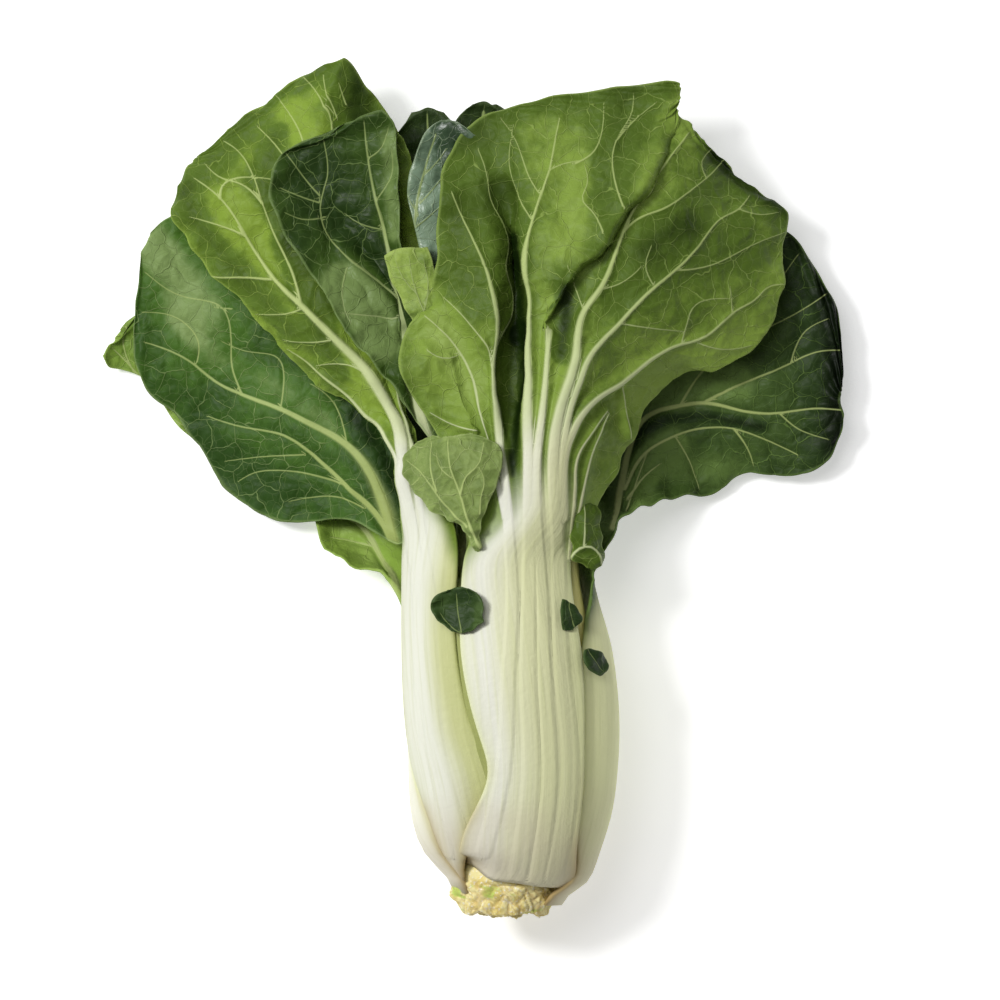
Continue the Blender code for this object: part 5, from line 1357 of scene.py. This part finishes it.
def front_folds(base, v):
    """Deep valley left of the middle, a crease in the left lobe, and a lap that drops right.

    The lap rises as a bell from its left and falls steeply right of its line into a trough,
    and its crest leans right.  The upper right corner has a notch, and the foot is drawn up
    most at its left, where the knife cut it.
    """
    x, y = base[..., 0], base[..., 1]
    moved = base.copy()
    valley = fold(x, y, FRONT_VALLEY, 5.0, 2.2, 0.3, 0.3)
    crease = fold(x, y, FRONT_CREASE, 2.2, 4.0, 0.2, 0.4)
    gap, gone = line_gap(x, y, FRONT_LAP)
    live = ease(0.04, 0.42, gone) * (1.0 - ease(0.72, 1.0, gone))
    lap = np.where(gap < 0, np.exp(-(gap / 21.0) ** 2), 1.0 - ease(0.0, 2.2, gap))
    trough = np.where(gap > 0, np.exp(-((gap - 5.0) / 6.0) ** 2), 0.0)
    moved[..., 2] += -12.0 * valley - 4.0 * crease + 5.6 * lap * live - 1.2 * trough * live
    moved[..., 0] += 1.6 * np.exp(-((gap + 0.6) / 2.2) ** 2) * live
    moved[..., 0] -= 3.0 * bell((x - FRONT_NOTCH[0], 16.0), (y - FRONT_NOTCH[1], 16.0))
    foot = 1.0 - ease(-142.0, -126.0, y)
    moved[..., 1] += foot * (0.8 + 2.5 * ease(0.7, -0.5, v) + 6.0 * ease(-0.4, -1.0, v))
    return moved


grow_leaf("front_blade", "front_leaf", front_skin, FRONT_LEAF, (370, 204), FRONT_VEINS,
          blade=(-15.0, 40.0, 12.0), white=(-12.0, 14.0, 32.0), shape=front_folds, tint_and_light_strokes=FRONT_TINT_AND_LIGHT,
          seed=120, ribs=0.55, swell=2.6, scallop=0.7, warm_and_shade=(-0.7, 0.3))

# a lobe at the foot of the blade, curled over the right edge of the stalk
FRONT_CURL = (
    (38, -30.2, 50.2, 40.8, -31.2, 51.2, 43.6, -30.2, 49.8, 0.3, 0.3, 1),
    (35, -27.2, 50.6, 40.6, -28.2, 53.2, 46.2, -27.2, 49.4, 0.8, 0.8, 1.1),
    (33.6, -22, 51.2, 40, -22.4, 54.2, 46.6, -21.6, 49.2, 1, 1, 1.2),
    (32.6, -15, 52.2, 39.2, -15.6, 54.8, 45.6, -14.4, 49.2, 1, 1, 1.2),
    (33.2, -8, 50.2, 38.6, -8.4, 51.4, 44, -7.8, 46, 0.8, 0.8, 1.1),
    (35, -3, 46.4, 38.6, -3, 46.8, 42.2, -3, 43.4, 0.3, 0.3, 1),
)
FRONT_CURL_VEINS = (
    (2.4, 1.4, ((33, -29.5), (35, -23.4), (39.6, -21.4), (43.6, -24.2), (44.8, -28.4))),
    (1.6, 0.7, ((38, -21), (38.4, -12), (37.4, 0))),
)
# a darker stroke over the whole curl: partly the leaf's own tint, partly painted shade
FRONT_CURL_TINT_AND_LIGHT = (
    (-1.1, 20, ((40, -28), (38, 2))),
)
grow_leaf("front_curl", "front_leaf", front_skin, FRONT_CURL, (80, 60), FRONT_CURL_VEINS,
          blade=(-60.0, -50.0, 5.0), white=(-60.0, -50.0, 5.0), tint_and_light_strokes=FRONT_CURL_TINT_AND_LIGHT, seed=125,
          ruffle=(0.6, 8.0), pucker=0.6, net=5.0, swell=0.8, scallop=0.7)


# --- Front leaflet and bud leaflets ------------------------------------------------------
# A small leaf lies across the top of the two front stalks, and three dark curled buds of
# leaflets sit in the gaps between the stalks.
leaflet_skin = leaf_skin("leaflet_skin", (0.12, 0.18, 0.04), (0.27, 0.36, 0.105), (0.37, 0.46, 0.17), 0.42,
                         vein=(0.44, 0.53, 0.19), shine=0.14)
FRONT_LEAFLET = (
    (-0.6, -24, 59, 0.8, -24, 59.6, 2.2, -24, 59.2, 0, 0, 1.2),
    (-4, -16.5, 61.4, -0.9, -15.6, 63, 2.2, -15, 62.4, 0.3, 0.3, 1.3),
    (-12.3, -10.5, 57.5, -4, -6.5, 64, 4.6, -8.5, 63.2, 1, 0.6, 1.5),
    (-21, -3, 53.5, -6.2, 2, 64.2, 8, 1, 63.6, 1.5, 0.8, 1.7),
    (-25.6, 6, 51, -7.8, 9.5, 63.4, 9, 8.8, 63.6, 1.5, 0.8, 1.5),
    (-22, 14, 53, -8.8, 14.8, 61.8, 6, 15.2, 62.4, 1, 0.5, 1.3),
    (-15, 17.6, 56.5, -9, 18.2, 60.6, -1.8, 18.6, 61.2, 0, 0, 1.1),
)
FRONT_LEAFLET_VEINS = (
    (2.4, 0.8, ((1.5, -21.5), (-3, -11), (-5, -4), (-8.5, 6), (-9.5, 16))),
    (1.8, 0.6, ((-3, -14.5), (-8, -9.5), (-13, -3), (-18, 4), (-24, 8.5))),
    (1.7, 0.6, ((-5, -3), (-3, 3), (0.5, 6.5), (3, 14.5))),
    (1.5, 0.6, ((1.5, -10), (2.5, -2.5), (3, 2.5), (1.5, 6))),
    (1.5, 0.6, ((-13, -2), (-15.5, 7.5), (-15.5, 15.5))),
    (1.4, 0.6, ((-2, -18.5), (-9.5, -15), (-17.5, -10))),
    (1, 0.5, ((-8, 2.5), (-12, 6), (-13.5, 11))),
    (1, 0.5, ((-18, 4), (-21, 0.5), (-23.5, 0))),
)
grow_leaf("front_leaflet_blade", "front_leaflet", leaflet_skin, FRONT_LEAFLET, (120, 100),
          FRONT_LEAFLET_VEINS, blade=(-90.0, -80.0, 0.0), white=(-90.0, -80.0, 0.0), seed=130,
          ruffle=(0.7, 8.0), net=5.0)

bud_skin = leaf_skin("bud_skin", (0.010, 0.028, 0.006), (0.03, 0.062, 0.012), (0.07, 0.12, 0.03), 0.4,
                     shine=0.2)
BUD_LEAFLET_LEFT = (
    (-1.6, -51.2, 64, -5, -51.6, 62.6, -8, -50.8, 62, 0, 0, 1.4),
    (2.8, -48.6, 65.2, -4.6, -48.8, 61.8, -12.6, -47.6, 61.4, -1.2, -0.6, 1.3),
    (3.4, -43.6, 65.8, -5.6, -43.4, 61.4, -15.4, -42.6, 61, -1.4, -1, 1.2),
    (2.2, -38.6, 65.4, -6.2, -38, 62, -13.4, -38.2, 61.8, -1, -0.6, 1.1),
    (-2, -35.6, 64.4, -6, -35.4, 63.2, -9.6, -35.9, 62.6, 0, 0, 1),
)
BUD_LEFT_VEINS = (
    (1.2, 0.6, ((-4, -57), (-4.4, -53), (-5.6, -46), (-6.4, -38))),
    (0.8, 0.5, ((-4.6, -52), (-9, -49), (-12, -45))),
)
BUD_LEAFLET_RIGHT = (
    (34, -50.6, 56.8, 32.2, -50.8, 57.6, 30.4, -50.6, 58.4, 0, 0, 1),
    (36.9, -47.6, 54.8, 33.6, -48.2, 56.6, 30.2, -48.6, 58.8, 0.3, 0.3, 1.2),
    (36.2, -44.2, 54.6, 33.2, -43.6, 56.8, 30.1, -43.4, 58.6, 0.3, 0.3, 1.1),
    (32.4, -40.4, 56.6, 31.2, -40, 57.4, 30.2, -39.9, 57.8, 0, 0, 1),
)
BUD_RIGHT_VEINS = (
    (1, 0.5, ((36, -52), (34, -48), (32.5, -40))),
)
BUD_LEAFLET_LOW = (
    (37.5, -57.4, 57.4, 38.4, -57, 56.8, 39.3, -56.5, 56.2, 0, 0, 1.2),
    (37.8, -61.6, 57.6, 40.5, -60.2, 55.4, 43.3, -58.8, 52.6, 0.4, 0.4, 1.2),
    (40.1, -64.7, 56, 42.8, -63.2, 53.4, 45.4, -61.6, 50, 0.4, 0.4, 1.1),
    (43, -66.6, 53, 44.4, -65.6, 51.6, 45.7, -64.4, 49.8, 0, 0, 1),
)
BUD_LOW_VEINS = (
    (1, 0.5, ((38.4, -57), (40.5, -60.2), (44.4, -65.6))),
)
# lighter strokes on the left bud's curled rims: painted highlight
BUD_TINT_AND_LIGHT = (
    (1.6, 2.2, ((1.5, -50), (2.2, -42))),
    (0.8, 2, ((-12, -44), (-10, -39))),
)
for bud, rows, veins, seed in (("left", BUD_LEAFLET_LEFT, BUD_LEFT_VEINS, 140),
                               ("right", BUD_LEAFLET_RIGHT, BUD_RIGHT_VEINS, 150),
                               ("low", BUD_LEAFLET_LOW, BUD_LOW_VEINS, 160)):
    grow_leaf("bud_" + bud + "_blade", "bud_leaflet_" + bud, bud_skin, rows, (40, 40), veins,
              blade=(-190.0, -180.0, 0.0), white=(-190.0, -180.0, 0.0), tint_and_light_strokes=BUD_TINT_AND_LIGHT, upper=True,
              seed=seed, ruffle=(0.5, 6.0), pucker=0.5, net=3.4, swell=0.4, scallop=0.6)


# --- Table, light and camera -------------------------------------------------------------
# A plain white table top under soft studio light: one large lamp from the upper left and
# an even white room, so shadows fall softly to the right and below.
FLOOR_HALF = 4.0
PAPER_LOOKS = (
    ("Base Color", (0.93, 0.93, 0.93, 1.0)),
    ("Roughness", 0.9),
    ("Emission Color", (1.0, 1.0, 1.0, 1.0)),
    ("Emission Strength", 0.44),
)
ROOM_LIGHT = 0.19
# name, place and width in metres, and power in watts
LAMPS = (
    ("side_lamp", (-1.95, 1.00, 2.95), 0.9, 88.0),
    ("top_lamp", (-0.90, 1.20, 3.70), 1.8, 38.0),
)
VIEW_CENTRE = (8.75 * MM, -4.55 * MM)
VIEW_HEIGHT = 5.0
SENSOR_WIDTH = 36.0
LENS = 510.0
VIEW_END = 20.0
floor_mesh = bpy.data.meshes.new("table_top")
corners = np.array([[-1, -1, 0], [1, -1, 0], [1, 1, 0], [-1, 1, 0]]) * FLOOR_HALF
floor_mesh.from_pydata(corners.tolist(), [], [(0, 1, 2, 3)])
table_top = bpy.data.objects.new("table_top", floor_mesh)
bpy.context.scene.collection.objects.link(table_top)
paper = bpy.data.materials.new("table_white")
paper.use_nodes = True
for title, value in PAPER_LOOKS:
    paper.node_tree.nodes["Principled BSDF"].inputs[title].default_value = value
floor_mesh.materials.append(paper)

# the room lights everything evenly, and the camera sees its walls white
room = bpy.data.worlds.new("room")
bpy.context.scene.world = room
room.use_nodes = True
tree = room.node_tree
walls = tree.nodes["Background"]
walls.inputs["Color"].default_value = (1.0, 1.0, 1.0, 1.0)
seen = tree.nodes.new("ShaderNodeLightPath").outputs["Is Camera Ray"]
tree.links.new(ramp(tree, seen, 0.0, 1.0, ROOM_LIGHT, 1.0), walls.inputs["Strength"])

for title, spot, size, power in LAMPS:
    lamp = bpy.data.lights.new(title, "AREA")
    lamp.shape = "DISK"
    lamp.size = size
    lamp.energy = power
    lamp_home = bpy.data.objects.new(title, lamp)
    lamp_home.location = spot
    bpy.context.scene.collection.objects.link(lamp_home)
    aim = lamp_home.constraints.new("TRACK_TO")
    aim.target = table_top
    aim.track_axis = "TRACK_NEGATIVE_Z"
    aim.up_axis = "UP_Y"

eye = bpy.data.cameras.new("eye")
eye.sensor_width = SENSOR_WIDTH
eye.lens = LENS
eye.clip_end = VIEW_END
camera = bpy.data.objects.new("eye", eye)
camera.location = (VIEW_CENTRE[0], VIEW_CENTRE[1], VIEW_HEIGHT)
bpy.context.scene.collection.objects.link(camera)
bpy.context.scene.camera = camera
bpy.context.scene.view_settings.view_transform = "Standard"
